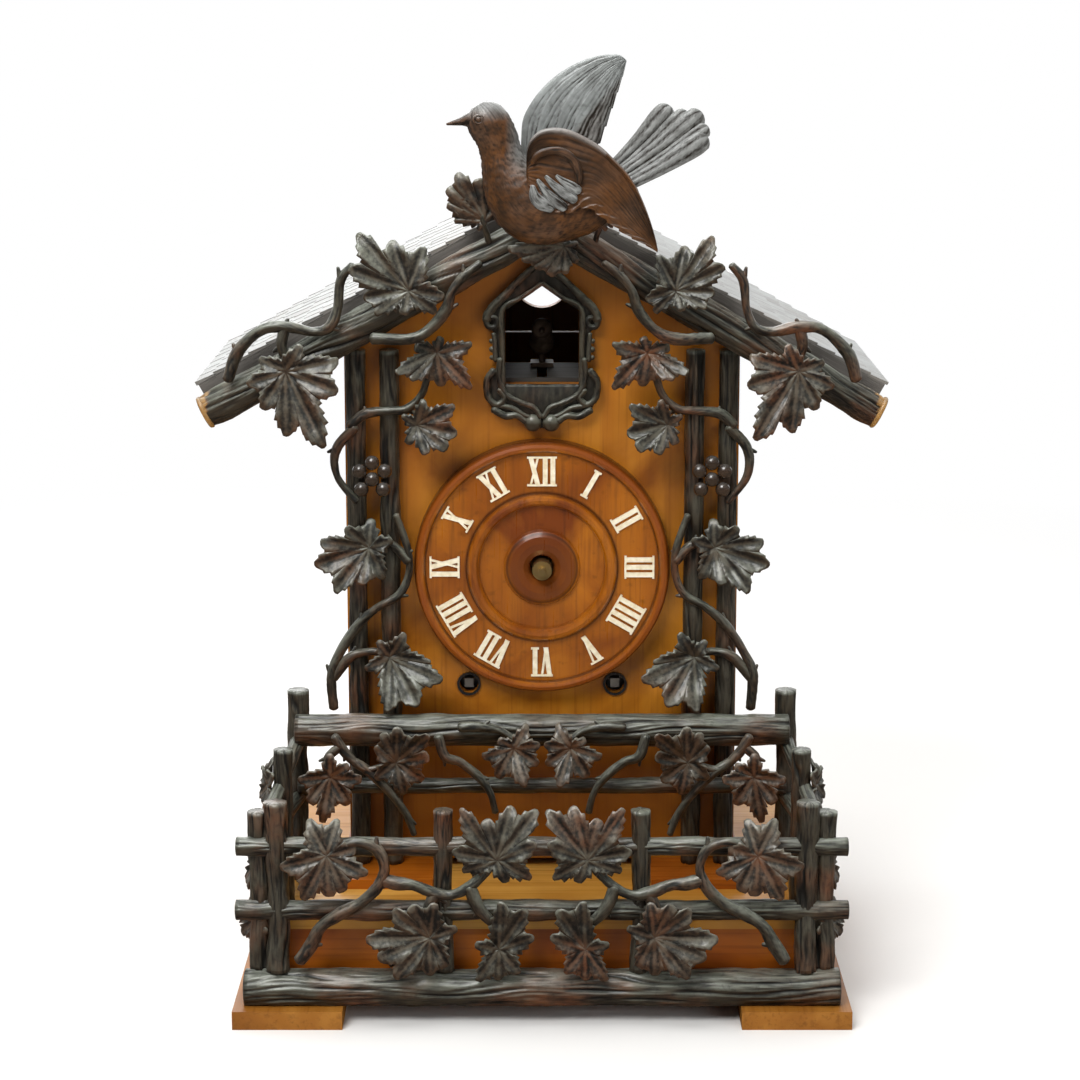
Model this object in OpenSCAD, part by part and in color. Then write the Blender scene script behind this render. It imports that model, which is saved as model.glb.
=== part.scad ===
// Cuckoo mantel clock: a pitched-roof case on a fenced yard, with its movement inside.
// The frame: X to the right of the dial, Y to the back, Z up, origin under the middle of the base.

/* [Base] */
// Length of each foot batten, front to back
foot_len = 292; // [270:1:310]
// Width of each foot batten
foot_w = 64; // [40:1:80]
// Thickness of the foot battens
foot_t = 11; // [6:0.5:16]
// Width of the base box
base_w = 332; // [310:1:350]
// Height of the base box between battens and deck
base_h = 40; // [30:1:60]
// Thickness of the base boards and the deck
base_t = 8; // [6:0.5:12]
// Thickness of the two blocks under the case
block_t = 6; // [4:0.5:10]
// Width of each block under the case
block_w = 56; // [40:1:70]
// How far the blocks stand out in front of the case
block_out = 43; // [20:1:50]

/* [Case] */
// Width of the case
case_w = 236; // [220:1:250]
// Depth of the case
case_d = 160; // [150:1:170]
// Distance from the back of the case to the back ends of the battens
case_back_gap = 10; // [6:0.5:16]
// Thickness of the case's front board
front_t = 8; // [6:0.5:10]
// Thickness of the side boards and the back door
side_t = 10; // [8:0.5:12]
// Height of the back gable board at its ends, above the back door
gable_end_h = 30; // [24:1:48]
// Gap round the back door
door_gap = 1; // [0.6:0.1:2]
// Radius of the sound hole in the back gable
sound_r = 18; // [10:0.5:24]
// Radius of the pillar logs on the case front
pillar_r = 6; // [4:0.25:7]
// Depth of the pillar logs in front of the case
pillar_d = 14; // [11:0.5:16]

/* [Roof] */
// Height of the bargeboards' centre line where they meet
roof_top = 457; // [450:1:470]
// Slope of the roof in degrees
roof_pitch = 29; // [27:0.5:31]
// Width of the bargeboards, square to the slope
barge_w = 21; // [16:0.5:24]
// Thickness of the bargeboards, front to back
barge_t = 14; // [10:0.5:18]
// Half width of the roof at the shingle ends
roof_half = 206; // [196:1:212]
// How far the roof stands out in front of the case
roof_out = 30; // [20:1:36]
// Thickness of the roof boards
roof_t = 11; // [8:0.5:14]
// Length of shingle left bare on each course
course = 12; // [9:0.5:18]
// Step at the end of each course
course_step = 2.4; // [1:0.2:3]

/* [Dial] */
// Height of the dial's centre
dial_z = 250.6; // [245:0.1:256]
// Radius of the dial
dial_r = 77; // [70:0.5:79]
// Thickness of the dial board
dial_t = 9; // [7:0.5:11]
// Height of the mouldings above the dial board
moulding = 5; // [3:0.25:6]
// Middle radius of the ring of numerals
numeral_r = 58.6; // [56:0.2:60]
// Height of the numerals
numeral_h = 18; // [12:0.5:19]
// Thickness of the numerals
numeral_t = 1.2; // [0.6:0.1:2]
// Radius of the dial's centre hole
dial_hole_r = 7.2; // [6.8:0.1:9]
// Distance of each winding hole from the middle
wind_x = 44.5; // [42.5:0.1:47]
// Height of the winding holes
wind_z = 176; // [174:0.5:178]
// Radius of the winding holes
wind_hole_r = 5.8; // [5.4:0.1:7]

/* [Cuckoo opening] */
// Half width of the opening
open_w = 22; // [16:0.5:25]
// Bottom of the opening
open_z = 360.5; // [358:0.5:366]
// Height of the opening's straight sides
open_h = 44.5; // [36:0.5:48]
// Rise of the opening's peak
open_peak = 14.5; // [6:0.5:18]
// Thickness of the carved frame round the opening
frame_t = 10; // [6:0.5:12]

/* [Yard fence] */
// Distance of the front fence behind the front ends of the battens
fence_in = 18; // [16:0.5:22]
// Radius of the log along the front of the base
log_r = 12; // [9:0.5:12.5]
// Half length of the front log
log_half = 174; // [166:1:180]
// Radius of the middle rail
rail_r = 6; // [4:0.25:7]
// Height of the middle rail
rail_z = 67; // [60:1:75]
// Radius of the top rail
top_rail_r = 5.5; // [4:0.25:7]
// Height of the top rail
top_rail_z = 105.5; // [98:0.5:112]
// Half length of the rails
rail_half = 178; // [170:1:184]
// Radius of the posts
post_r = 7; // [5:0.25:8]
// Distance of the inner posts from the middle
inner_post_x = 57; // [45:1:70]
// Distance of the corner posts from the middle
corner_post_x = 154; // [148:1:158]
// Radius of the log across the case
cross_r = 10; // [7:0.5:11]
// Height of the log across the case
cross_z = 154.7; // [150:0.5:158]
// Distance of the log across the yard in front of the case
cross_out = 29; // [28:0.5:34]
// Half length of the log across the case
cross_half = 148; // [140:1:156]
// Height of the thin rail under it
thin_rail_z = 120; // [112:1:126]

/* [Carving] */
// Thickness of the carved leaves
leaf_t = 2.8; // [2:0.1:4]
// Radius of the vine stems
vine_r = 2.4; // [1.6:0.1:3]
// Radius of the grapes
grape_r = 4.6; // [4.4:0.1:5]
// Length of the perched bird, breast to tail
bird_len = 92; // [80:1:100]

/* [Movement] */
// Distance from the front board to the movement
front_gap = 16; // [15:0.5:20]
// Half width of the movement's plates
plate_half = 70; // [68:0.5:74]
// Thickness of the movement's plates
plate_t = 3; // [2:0.25:4]
// Distance between the plates
plate_space = 59; // [58:0.5:64]
// Bottom of the plates
plate_z0 = 120; // [112:1:126]
// Top of the plates
plate_z1 = 320; // [316:1:330]
// Radius of the spring barrels
barrel_r = 33; // [28:0.5:34]
// Length of the spring barrels
barrel_h = 30; // [24:1:32]
// Radius of the winding arbors
winder_r = 4; // [3:0.1:4.5]
// Width of the winding squares
square_w = 5.4; // [4:0.1:5.6]
// Radius of the centre arbor
centre_r = 2.4; // [2:0.1:2.8]
// Outer radius of the hour pipe
pipe_r = 5.8; // [4.5:0.1:6]
// Radius of the thin arbors
arbor_r = 1.5; // [1.2:0.1:2]
// Length of the pendulum, from its pivot to the middle of the bob
pendulum_len = 175; // [150:1:185]
// Radius of the pendulum's bob
bob_r = 20; // [14:0.5:22]
// Radius of the gong wire
gong_wire_r = 1.1; // [0.8:0.1:1.5]
// Outer radius of the gong
gong_r = 42; // [36:0.5:44]
// Turns of the gong
gong_turns = 5; // [3:1:6]

/* [Fits] */
// Clearance between pieces that only lie near each other
clear = 0.3; // [0.2:0.05:0.5]
// Radial clearance of a turning fit
fit = 0.05; // [0.02:0.01:0.1]
// Hairline between two boards that meet
seam = 0.1; // [0.05:0.05:0.3]

/* [Hidden] */
$fn = 48;
sides = [-1, 1];

// Levels and planes of the wooden parts
foot_x = base_w / 2 + 14;
deck_z = foot_t + base_h + base_t;
case_z = deck_z + block_t;
case_back = foot_len / 2 - case_back_gap;
case_front_y = case_back - case_d;
half = case_w / 2;
inside = half - side_t;
front_in = case_front_y + front_t;
base_back = case_back + 4;
floor_t = 8;
door_z = case_z + floor_t + door_gap;
door_y = case_back - side_t;
sound_z = 406;
barge_y = case_front_y - roof_out;
panel_low = 5;
panel_high = panel_low + roof_t;
door_h = slope_z(inside, panel_low) - gable_end_h - door_gap - door_z;
log_front = case_front_y - pillar_d;
fence_y = foot_len / 2 - fence_in;
fence_front = -fence_y - rail_r;
cross_y = cross_out - case_front_y;
base_front_y = log_r - fence_y;
cross_front = -cross_y - cross_r;

// Movement levels, front to back
plate_y = front_in + front_gap;
plate_in = plate_y + plate_t;
back_plate_y = plate_in + plate_space;
back_out = back_plate_y + plate_t;
shelf_t = 8;
shelf_back = back_out + 1;
stage_t = 4;
stage_top = 363;
stage_back = plate_y + 50;
drive_y = plate_in + 17;
pinion_ext = 2;
hinge_x = inside - 0.2;
hinge_y = case_back + 2.9;
knuckle_r = 2.6;
hinge_pin_r = 1.2;
hinge_h = 30;
hinge_low = 110;
hinge_high = 318;
catch_x = half - side_t / 2;
catch_z = 225;

// Wheel teeth: counts, modules and the arbors' places on the plates
barrel_n = 78;
barrel_m = 1.0;
drive_n = 12;
inter_n = 84;
inter_m = 0.9;
centre_pin_n = 10;
centre_n = 78;
centre_m = 0.7;
small_n = 8;
third_n = 72;
third_m = 0.6;
cannon_n = 16;
cannon_m = 0.6;
minute_n = 48;
minute_pin_n = 12;
hour_n = 48;
hour_m = cannon_m * (cannon_n + minute_n) / (minute_pin_n + hour_n);
escape_n = 30;
escape_r = 15;
escape_rise = 37.4;
pallet_rise = 21;
minute_dir = 200;
fly_dir = 135;

function mesh(n1, n2, m) = (n1 + n2) * m / 2;
function bearing(a, b) = atan2(b[1] - a[1], b[0] - a[0]);
function away(a, angle, d) = a + d * [cos(angle), sin(angle)];
// The point at distance ra from a and rb from b, to the left of the way from a to b for side 1
function corner(a, b, ra, rb, side) =
    let (d = norm(b - a), u = (b - a) / d, s = (ra * ra - rb * rb + d * d) / (2 * d))
    a + s * u + side * sqrt(max(0, ra * ra - s * s)) * [-u[1], u[0]];

centre = [0, dial_z];
going = [wind_x, wind_z];
strike = [-wind_x, wind_z];
inter = corner(going, centre, mesh(barrel_n, drive_n, barrel_m), mesh(inter_n, centre_pin_n, inter_m), -1);
escape = [0, dial_z + escape_rise];
third = corner(centre, escape, mesh(centre_n, small_n, centre_m), mesh(third_n, small_n, third_m), -1);
pallet = [0, escape[1] + pallet_rise];
minute = away(centre, minute_dir, mesh(cannon_n, minute_n, cannon_m));
pins = [-inter[0], inter[1]];
fly_at = away(pins, fly_dir, mesh(inter_n, small_n, inter_m));
hammer_at = [-66.5, 226];
rod_y = back_out + 10.6;
gong_at = [-20, plate_y + 60];
gong_z = 90;
gong_rings = 24;

// Shapes drawn in the X-Z plane and given a thickness along Y
module slab(y0, y1) {
    translate([0, y1, 0]) rotate([90, 0, 0]) linear_extrude(y1 - y0) children();
}

module pin(at, r, y0, y1) {
    translate([at[0], y1, at[1]]) rotate([90, 0, 0]) cylinder(r = r, h = y1 - y0);
}

module box(x0, x1, y0, y1, z0, z1) {
    translate([x0, y0, z0]) cube([x1 - x0, y1 - y0, z1 - z0]);
}

module both() {
    children();
    mirror([1, 0, 0]) children();
}

module rod(a, b, r) {
    d = b - a;
    turn = atan2(d[1], d[0]);
    tilt = acos(d[2] / norm(d));
    translate(a) rotate([0, tilt, turn]) cylinder(r = r, h = norm(d));
}

// A wheel's outline: straight-sided teeth with the bottom of each space wider than its mouth
function teeth(n, m, phase, add, ded, root, tip) = [
    for (i = [0 : n - 1])
        for (k = [[-root, -ded], [-tip, add], [tip, add], [root, -ded]])
            let (r = m * n / 2 + k[1] * m, a = phase + (i + k[0]) * 360 / n)
            r * [cos(a), sin(a)]
];

module wheel(at, n, m, phase, y0, y1) {
    slab(y0, y1) translate(at) polygon(teeth(n, m, phase, 0.7, 1.3, 0.3, 0.1));
}

module pinion(at, n, m, phase, y0, y1) {
    slab(y0, y1) translate(at) polygon(teeth(n, m, phase + 180 + 180 / n, 0.5, 1.45, 0.22, 0.08));
}

// Round windows that lighten a wheel
module windows(at, count, ring_r, r, y0, y1) {
    for (i = [0 : count - 1])
        pin(away(at, i * 360 / count, ring_r), r, y0 - 1, y1 + 1);
}

// Points along a smooth curve through the points of a path
function held(p, i) = p[max(0, min(len(p) - 1, i))];
function between(p, i, t) =
    let (a = held(p, i - 1), b = p[i], c = held(p, i + 1), d = held(p, i + 2))
    b + ((c - a) * t + (2 * a - 5 * b + 4 * c - d) * t * t + (3 * b - a - 3 * c + d) * t * t * t) / 2;
function smooth(p, n) = [
    for (i = [0 : len(p) - 2]) for (k = [0 : n - 1]) between(p, i, k / n),
    p[len(p) - 1]
];

// A tube through points in space, with its rings square to the way it runs
module tube(points, radii, up, count = 6) {
    last = len(points) - 1;
    verts = [
        for (i = [0 : last])
            let (
                t = held(points, i + 1) - held(points, i - 1),
                n1 = cross(t, up) / norm(cross(t, up)),
                n2 = cross(t, n1) / norm(cross(t, n1))
            )
            for (k = [0 : count - 1])
                points[i] + radii[i] * (cos(k * 360 / count) * n1 + sin(k * 360 / count) * n2)
    ];
    faces = concat(
        [[for (k = [0 : count - 1]) k]],
        [
            for (i = [0 : last - 1]) for (k = [0 : count - 1])
                let (a = i * count + k, b = i * count + (k + 1) % count)
                each [[a, a + count, b], [b, a + count, b + count]]
        ],
        [[for (k = [count - 1 : -1 : 0]) last * count + k]]
    );
    polyhedron(verts, faces);
}

// A vine stem in a plane across Y
module stem(path, y, r = vine_r) {
    p = smooth(path, 2);
    tube([for (q = p) [q[0], y, q[1]]], [for (q = p) r], [0, 1, 0]);
}

// A five-lobed vine leaf: pairs of angle from the tip and share of the length
lobes = [
    [0, 1], [12, 0.82], [22, 0.86], [34, 0.56], [50, 0.80], [64, 0.88], [76, 0.70],
    [88, 0.74], [102, 0.46], [122, 0.58], [138, 0.56], [152, 0.40], [166, 0.22],
];
module leaf(at, angle, size, y) {
    right = [for (q = lobes) away(at, angle - q[0], q[1] * size)];
    left = [for (i = [len(lobes) - 1 : -1 : 1]) away(at, angle + lobes[i][0], lobes[i][1] * size)];
    slab(y - leaf_t, y) polygon(concat(right, left));
}

module leaves(list, y) {
    for (q = list) leaf([q[0], q[1]], q[2], q[3], y);
}

// Stems and leaves on the left: stems as paths, leaves as place, direction and size
roof_stems = [
    [[-184, 368], [-178, 384], [-164, 397], [-150, 399], [-134, 396],
     [-124, 399], [-119, 410], [-117, 426], [-110, 435]],
    [[-150, 399], [-152, 388], [-149, 377]],
    [[-99, 392], [-77, 392], [-65, 398], [-56, 409], [-52, 420], [-45, 429], [-36, 436]],
];
roof_leaf_list = [[-78, 421, 131, 46], [-149, 373, -63, 44]];
peak_leaf_list = [[-37.5, 461, 135, 32]];
case_stems = [
    [[-114, 338], [-105, 345], [-91, 347], [-80, 348], [-71, 357], [-66, 373]],
    [[-111, 337], [-122, 324], [-122, 308], [-111, 292]],
    [[-126, 165], [-127, 186], [-121, 201], [-110, 217], [-98, 228],
     [-86, 235], [-80, 247], [-80, 262], [-87, 284]],
    [[-126, 184], [-115, 197], [-104, 200], [-94, 199]],
    [[-80, 256], [-90, 266], [-102, 266]],
];
case_leaf_list = [[-61, 381, -95, 25], [-77, 342, -35, 30], [-103, 265, 215, 36], [-93, 197, -58, 38]];
fence_stems = [
    [[-141, 39], [-134, 49], [-128, 60], [-118, 67], [-105, 74],
     [-95, 84], [-91, 96], [-96, 107], [-108, 111], [-119, 106]],
    [[-92, 88], [-84, 86], [-74, 85], [-62, 80], [-52, 79], [-42, 84], [-30, 95]],
    [[-62, 80], [-66, 68], [-60, 57]],
    [[-42, 84], [-36, 70], [-23, 57]],
];
fence_leaf_list = [[-120, 105, 215, 31], [-28, 97, 48, 37], [-59, 55, 172, 38], [-21, 54, -66, 30]];
upper_stems = [
    [[-124, 154], [-117, 143], [-106, 134], [-93, 136]],
    [[-112, 138], [-101, 130], [-89, 117], [-81, 104], [-77, 93]],
    [[-120, 148], [-128, 141], [-127, 132]],
    [[-62, 154], [-58, 142], [-49, 138], [-38, 129], [-31, 119], [-28, 107]],
    [[-49, 160], [-36, 160], [-24, 157], [-16, 151]],
];
upper_leaf_list = [[-127, 131, -80, 22], [-92, 136, 50, 27], [-16, 150, -95, 27]];
roof_vine_y = barge_y - clear - vine_r;
case_vine_y = log_front - clear - vine_r;
fence_vine_y = fence_front - clear - vine_r;
upper_vine_y = cross_front - clear - vine_r;
function leaf_plane(vine_y) = vine_y - vine_r - clear;

// Base
module feet() {
    color("wheat") both()
        box(foot_x - foot_w, foot_x, -foot_len / 2, foot_len / 2, 0, foot_t);
}

module base_front() {
    color("peru")
        box(-base_w / 2, base_w / 2, base_front_y, base_front_y + base_t, foot_t, deck_z - base_t);
}

module base_boards() {
    color("burlywood") {
        both()
            box(base_w / 2 - base_t, base_w / 2, base_front_y + base_t, base_back - base_t - seam,
                foot_t, deck_z - base_t);
        box(-base_w / 2, base_w / 2, base_back - base_t, base_back, foot_t, deck_z - base_t);
    }
}

module base_deck() {
    color("wheat")
        box(-base_w / 2, base_w / 2, base_front_y, base_back, deck_z - base_t, deck_z);
}

module plinth_blocks() {
    color("wheat") both()
        box(half + 4 - block_w, half + 4, case_front_y - block_out, case_back, deck_z, case_z);
}

// Case
function slope_z(x, p) = roof_top + p / cos(roof_pitch) - x * tan(roof_pitch);

module opening_outline(grow) {
    w = open_w + grow;
    polygon([
        [-w, open_z - grow], [w, open_z - grow], [w, open_z + open_h],
        [0, open_z + open_h + open_peak + grow], [-w, open_z + open_h],
    ]);
}

module case_front() {
    color("chocolate") difference() {
        slab(case_front_y, front_in) polygon([
            [-half, case_z], [half, case_z], [half, slope_z(half, panel_low)],
            [0, slope_z(0, panel_low)], [-half, slope_z(half, panel_low)],
        ]);
        slab(case_front_y - 1, front_in + 1) opening_outline(0);
        for (s = sides) pin([s * wind_x, wind_z], wind_hole_r, case_front_y - 1, front_in + 1);
        pin(centre, dial_hole_r, case_front_y - 1, front_in + 1);
    }
}

module case_sides() {
    color("peru") both()
        slab(front_in, case_back) polygon([
            [inside, case_z], [half, case_z],
            [half, slope_z(half, panel_low)], [inside, slope_z(inside, panel_low)],
        ]);
}

module case_floor() {
    color("burlywood") box(-inside, inside, front_in, case_back, case_z, case_z + floor_t);
}

module back_gable() {
    low = door_z + door_h + door_gap;
    color("peru") difference() {
        slab(door_y, case_back) polygon([
            [-inside, low], [inside, low], [inside, slope_z(inside, panel_low)],
            [0, slope_z(0, panel_low)], [-inside, slope_z(inside, panel_low)],
        ]);
        pin([0, sound_z], sound_r, door_y - 1, case_back + 1);
    }
}

module back_door() {
    color("peru")
        box(door_gap - inside, inside - door_gap, door_y, case_back, door_z, door_z + door_h);
}

// Each hinge has three knuckles: the middle one and the pin stay on the case
module hinge_pair() {
    for (z = [hinge_low, hinge_high]) translate([hinge_x, hinge_y, z]) children();
}

module knuckle(low, high, r) {
    translate([0, 0, low]) cylinder(r = r, h = high - low);
}

leaf_back = case_back - hinge_y;
leaf_front = leaf_back + 1.2;
third_h = hinge_h / 3;
module door_hinges() {
    color("goldenrod") hinge_pair() {
        box(knuckle_r + clear, half - hinge_x - 0.5, leaf_back, leaf_front, 0, hinge_h);
        box(0.5, knuckle_r + clear, leaf_back, leaf_front, third_h + clear, 2 * third_h - clear);
        knuckle(third_h + clear, 2 * third_h - clear, knuckle_r);
        knuckle(0, hinge_h, hinge_pin_r);
    }
}

module door_hinge_leaves() {
    color("goldenrod") hinge_pair() {
        box(-16, -knuckle_r - clear, leaf_back, leaf_front, 0, hinge_h);
        for (z = [0, 2 * third_h]) difference() {
            union() {
                box(-knuckle_r - clear, -0.9, leaf_back, leaf_front, z, z + third_h);
                knuckle(z, z + third_h, knuckle_r);
            }
            knuckle(z - 1, z + third_h + 1, hinge_pin_r + fit);
        }
    }
}

catch_y = case_back + clear;
module door_catch() {
    color("goldenrod") difference() {
        box(-catch_x - 4, -catch_x + 4, catch_y, catch_y + 2.5, catch_z - 17, catch_z + 17);
        pin([-catch_x, catch_z], 1.5 + fit, catch_y - 1, catch_y + 4);
    }
}

module catch_screw() {
    color("goldenrod") {
        pin([-catch_x, catch_z], 1.5, case_back, catch_y + 2.6);
        pin([-catch_x, catch_z], 3, catch_y + 2.6, catch_y + 4);
    }
}

// Roof: points by distance down the slope and height square to it
function on_roof(s, p) = [
    s * cos(roof_pitch) + p * sin(roof_pitch),
    roof_top - s * sin(roof_pitch) + p * cos(roof_pitch),
];
panel_len = (roof_half - (panel_high + course_step) * sin(roof_pitch)) / cos(roof_pitch);
cap_w = 18;
courses = floor((panel_len - cap_w) / course);
course_len = (panel_len - cap_w) / courses;
module roof_panels() {
    ridge_low = -panel_low * tan(roof_pitch);
    ridge_high = -panel_high * tan(roof_pitch);
    shingles = [
        for (i = [0 : courses - 1])
            each [on_roof(cap_w + i * course_len, panel_high),
                  on_roof(cap_w + (i + 1) * course_len, panel_high + course_step)]
    ];
    color("dimgray") both() translate([seam / 2, 0, 0])
        slab(barge_y + barge_t, foot_len / 2) polygon(concat(
            [on_roof(panel_len, panel_low), on_roof(ridge_low, panel_low), on_roof(ridge_high, panel_high)],
            shingles
        ));
}

module ridge_cap() {
    under = panel_high + seam;
    high = panel_high + 3;
    low_end = on_roof(cap_w - 1, under);
    high_end = on_roof(cap_w - 1, high);
    color("dimgray")
        slab(barge_y + barge_t, foot_len / 2) polygon([
            [0, slope_z(0, under)], low_end, high_end, [0, slope_z(0, high)],
            [-high_end[0], high_end[1]], [-low_end[0], low_end[1]],
        ]);
}

barge_len = (roof_half - 3 - barge_w / 2 * sin(roof_pitch)) / cos(roof_pitch);
module bargeboards() {
    low = -barge_w / 2;
    high = barge_w / 2;
    color("saddlebrown") both() translate([seam / 2, 0, 0])
        slab(barge_y, barge_y + barge_t)
            polygon([
                [0, slope_z(0, low)], on_roof(barge_len, low),
                on_roof(barge_len, high), [0, slope_z(0, high)],
            ]);
}

pillar_outer = half - 7;
pillar_inner = half - 27;
pillar_top = slope_z(pillar_outer, -barge_w / 2) - 1;
module pillar_logs() {
    color("saddlebrown") both() for (x = [pillar_outer, pillar_inner]) {
        translate([x, log_front + pillar_r, case_z]) cylinder(r = pillar_r, h = pillar_top - case_z);
        box(x - pillar_r, x + pillar_r, log_front + pillar_r, case_front_y, case_z, pillar_top);
    }
}

// The carved frame: outline of its right half from the bottom up
frame_side = 11;
frame_half = [
    [0, -27], [7, -28], [12, -22], [18, -19], [24, -18], [31, -14], [33, -6], [32, 4], [29, 9],
    [28, 14], [29, 30], [33, 34], [33, 43], [26, 49], [16, 60], [9, 69], [0, 76],
];
module cuckoo_frame() {
    grow = open_w + frame_side - 33;
    color("saddlebrown") {
        difference() {
            slab(case_front_y - frame_t, case_front_y) translate([0, open_z]) polygon(concat(
                [for (q = frame_half) q + [q[0] > 0 ? grow : 0, q[1] > 30 ? open_h - 44.5 : 0]],
                [for (i = [len(frame_half) - 2 : -1 : 1])
                    [-frame_half[i][0] - grow, frame_half[i][1] + (frame_half[i][1] > 30 ? open_h - 44.5 : 0)]]
            ));
            slab(case_front_y - frame_t - 1, case_front_y + 1) opening_outline(0);
        }
    }
}

// Dial: a turned board with a rim, a chapter ring, a raised ring and a boss
function bump(r, w, h, base) = [for (a = [180 : -30 : 0]) [r + w * cos(a), base + h * sin(a)]];
module dial() {
    edge = dial_r - 3.5;
    chapter_in = numeral_r - 13;
    color("sienna")
        translate([0, case_front_y, dial_z]) rotate([90, 0, 0]) rotate_extrude($fn = 96) polygon(concat(
            [[dial_r, 0], [dial_hole_r, 0]],
            bump(dial_hole_r + 8, 8, moulding, dial_t),
            [[chapter_in - 10, dial_t]],
            bump(chapter_in - 4, 4, moulding, dial_t),
            bump(edge, 3.5, moulding, dial_t)
        ));
}

// Numerals: each letter is straight strokes with feet that join it to the next
glyph_w = [["I", 4.6], ["V", 8.4], ["X", 8.4]];
stroke = 2.9;
hair = 1.3;
foot_h = 1.2;
function width_of(c) = [for (g = glyph_w) if (g[0] == c) g[1]][0];
module stroke_line(x0, x1, w) {
    h = numeral_h / 2;
    polygon([[x0 - w / 2, -h], [x0 + w / 2, -h], [x1 + w / 2, h], [x1 - w / 2, h]]);
}

module glyph(c) {
    w = width_of(c);
    lean = w / 2 - stroke / 2 - 0.4;
    h = numeral_h / 2;
    slab(0, numeral_t) {
        if (c == "I") stroke_line(0, 0, stroke);
        if (c == "V") {
            stroke_line(0, -lean, stroke);
            stroke_line(0, lean, hair);
        }
        if (c == "X") {
            stroke_line(lean, -lean, stroke);
            stroke_line(-lean, lean, hair);
        }
        translate([-w / 2 - 0.1, h - foot_h]) square([w + 0.2, foot_h]);
        if (c != "V") translate([-w / 2 - 0.1, -h]) square([w + 0.2, foot_h]);
    }
}

hours = [
    ["X", "I", "I"], ["I"], ["I", "I"], ["I", "I", "I"], ["I", "I", "I", "I"], ["V"],
    ["V", "I"], ["V", "I", "I"], ["V", "I", "I", "I"], ["I", "X"], ["X"], ["X", "I"],
];
function total(list, n) = n <= 0 ? 0 : width_of(list[n - 1]) + total(list, n - 1);
function glyph_place(list, k) = total(list, k) + (width_of(list[k]) - total(list, len(list))) / 2;
module dial_numerals() {
    color("ivory") translate([0, case_front_y - dial_t - numeral_t, dial_z])
        for (i = [0 : len(hours) - 1]) rotate([0, i * 30, 0]) translate([0, 0, numeral_r])
            for (k = [0 : len(hours[i]) - 1])
                translate([glyph_place(hours[i], k), 0, 0]) glyph(hours[i][k]);
}

bush_out = 1.4;
module winding_bushes() {
    color("black") both() difference() {
        pin([wind_x, wind_z], wind_hole_r + bush_out, case_front_y - 1.5, case_front_y);
        pin([wind_x, wind_z], wind_hole_r, case_front_y - 3, case_front_y + 1);
    }
}

// Fence round the yard
log_z = foot_t + log_r - 4;
log_top = log_z + log_r;
module fence_log() {
    color("saddlebrown") difference() {
        rod([-log_half, -fence_y, log_z], [log_half, -fence_y, log_z], log_r);
        box(-log_half - 1, log_half + 1, -fence_y - log_r - 1, -fence_y + log_r + 1, foot_t - 9, foot_t);
    }
}

module front_fence() {
    color("saddlebrown") union() {
        rod([-rail_half, -fence_y, rail_z], [rail_half, -fence_y, rail_z], rail_r);
        rod([-rail_half, -fence_y, top_rail_z], [rail_half, -fence_y, top_rail_z], top_rail_r);
        for (s = sides) {
            second_x = s * (corner_post_x + 11);
            rod([s * inner_post_x, -fence_y, log_top], [s * inner_post_x, -fence_y, top_rail_z + 22], rail_r);
            rod([s * corner_post_x, -fence_y, log_top], [s * corner_post_x, -fence_y, top_rail_z + 27], post_r);
            rod([second_x, 5 - fence_y, log_top], [second_x, 5 - fence_y, top_rail_z + 20], post_r - 0.5);
        }
    }
}

rear_post_x = cross_half - 1;
rear_post_y = cross_y - 8;
side_rail_r = 4.5;
module side_fences() {
    front_y = 5 - fence_y + post_r + clear;
    back_y = -cross_y - cross_r - clear;
    mid_x = corner_post_x - 1;
    mid_y = (front_y + back_y) / 2 + 1.5;
    color("saddlebrown") both() union() {
        rod([corner_post_x + 6, front_y, rail_z + 2], [rear_post_x + 1, back_y, rail_z + 6], side_rail_r);
        rod([corner_post_x + 6, front_y, top_rail_z - 2], [rear_post_x + 1, back_y, top_rail_z + 6], side_rail_r);
        rod([corner_post_x + 6, front_y, top_rail_z + 12], [rear_post_x + 1, back_y, cross_z - 8], side_rail_r);
        rod([mid_x, mid_y, deck_z], [mid_x, mid_y, cross_z - 2], post_r - 1);
    }
}

module upper_fence() {
    color("saddlebrown") union() {
        rod([-cross_half, -cross_y, cross_z], [cross_half, -cross_y, cross_z], cross_r);
        rod([-rear_post_x, -cross_y, thin_rail_z], [rear_post_x, -cross_y, thin_rail_z], 5);
        for (x = [-rear_post_x, rear_post_x])
            rod([x, -rear_post_y, deck_z], [x, -rear_post_y, cross_z + 23], post_r - 0.5);
    }
}

// Carving
module roof_vines() {
    color("saddlebrown") both() for (p = roof_stems) stem(p, roof_vine_y);
}

module roof_leaves() {
    color("saddlebrown") both() {
        leaves(roof_leaf_list, leaf_plane(roof_vine_y));
        leaves(peak_leaf_list, barge_y - clear);
    }
}

module case_vines() {
    color("saddlebrown") both() for (p = case_stems) stem(p, case_vine_y);
}

module case_leaves() {
    color("saddlebrown") both() leaves(case_leaf_list, leaf_plane(case_vine_y));
}

module fence_vines() {
    color("saddlebrown") both() {
        for (p = fence_stems) stem(p, fence_vine_y);
        for (p = upper_stems) stem(p, upper_vine_y);
    }
}

module fence_leaves() {
    color("saddlebrown") both() {
        leaves(fence_leaf_list, leaf_plane(fence_vine_y));
        leaves(upper_leaf_list, leaf_plane(upper_vine_y));
    }
}

grape_z = dial_z + 57.4;
grapes = [[0, 8], [-7.5, 3], [7.5, 3], [0, -2], [-6.5, -8], [6.5, -8]];
module grape_clusters() {
    color("saddlebrown") both()
        for (q = grapes)
            translate([pillar_inner + 10 + q[0], log_front - clear - grape_r, grape_z + q[1]])
                rotate([90, 0, 0]) sphere(r = grape_r, $fn = 24);
}

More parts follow.
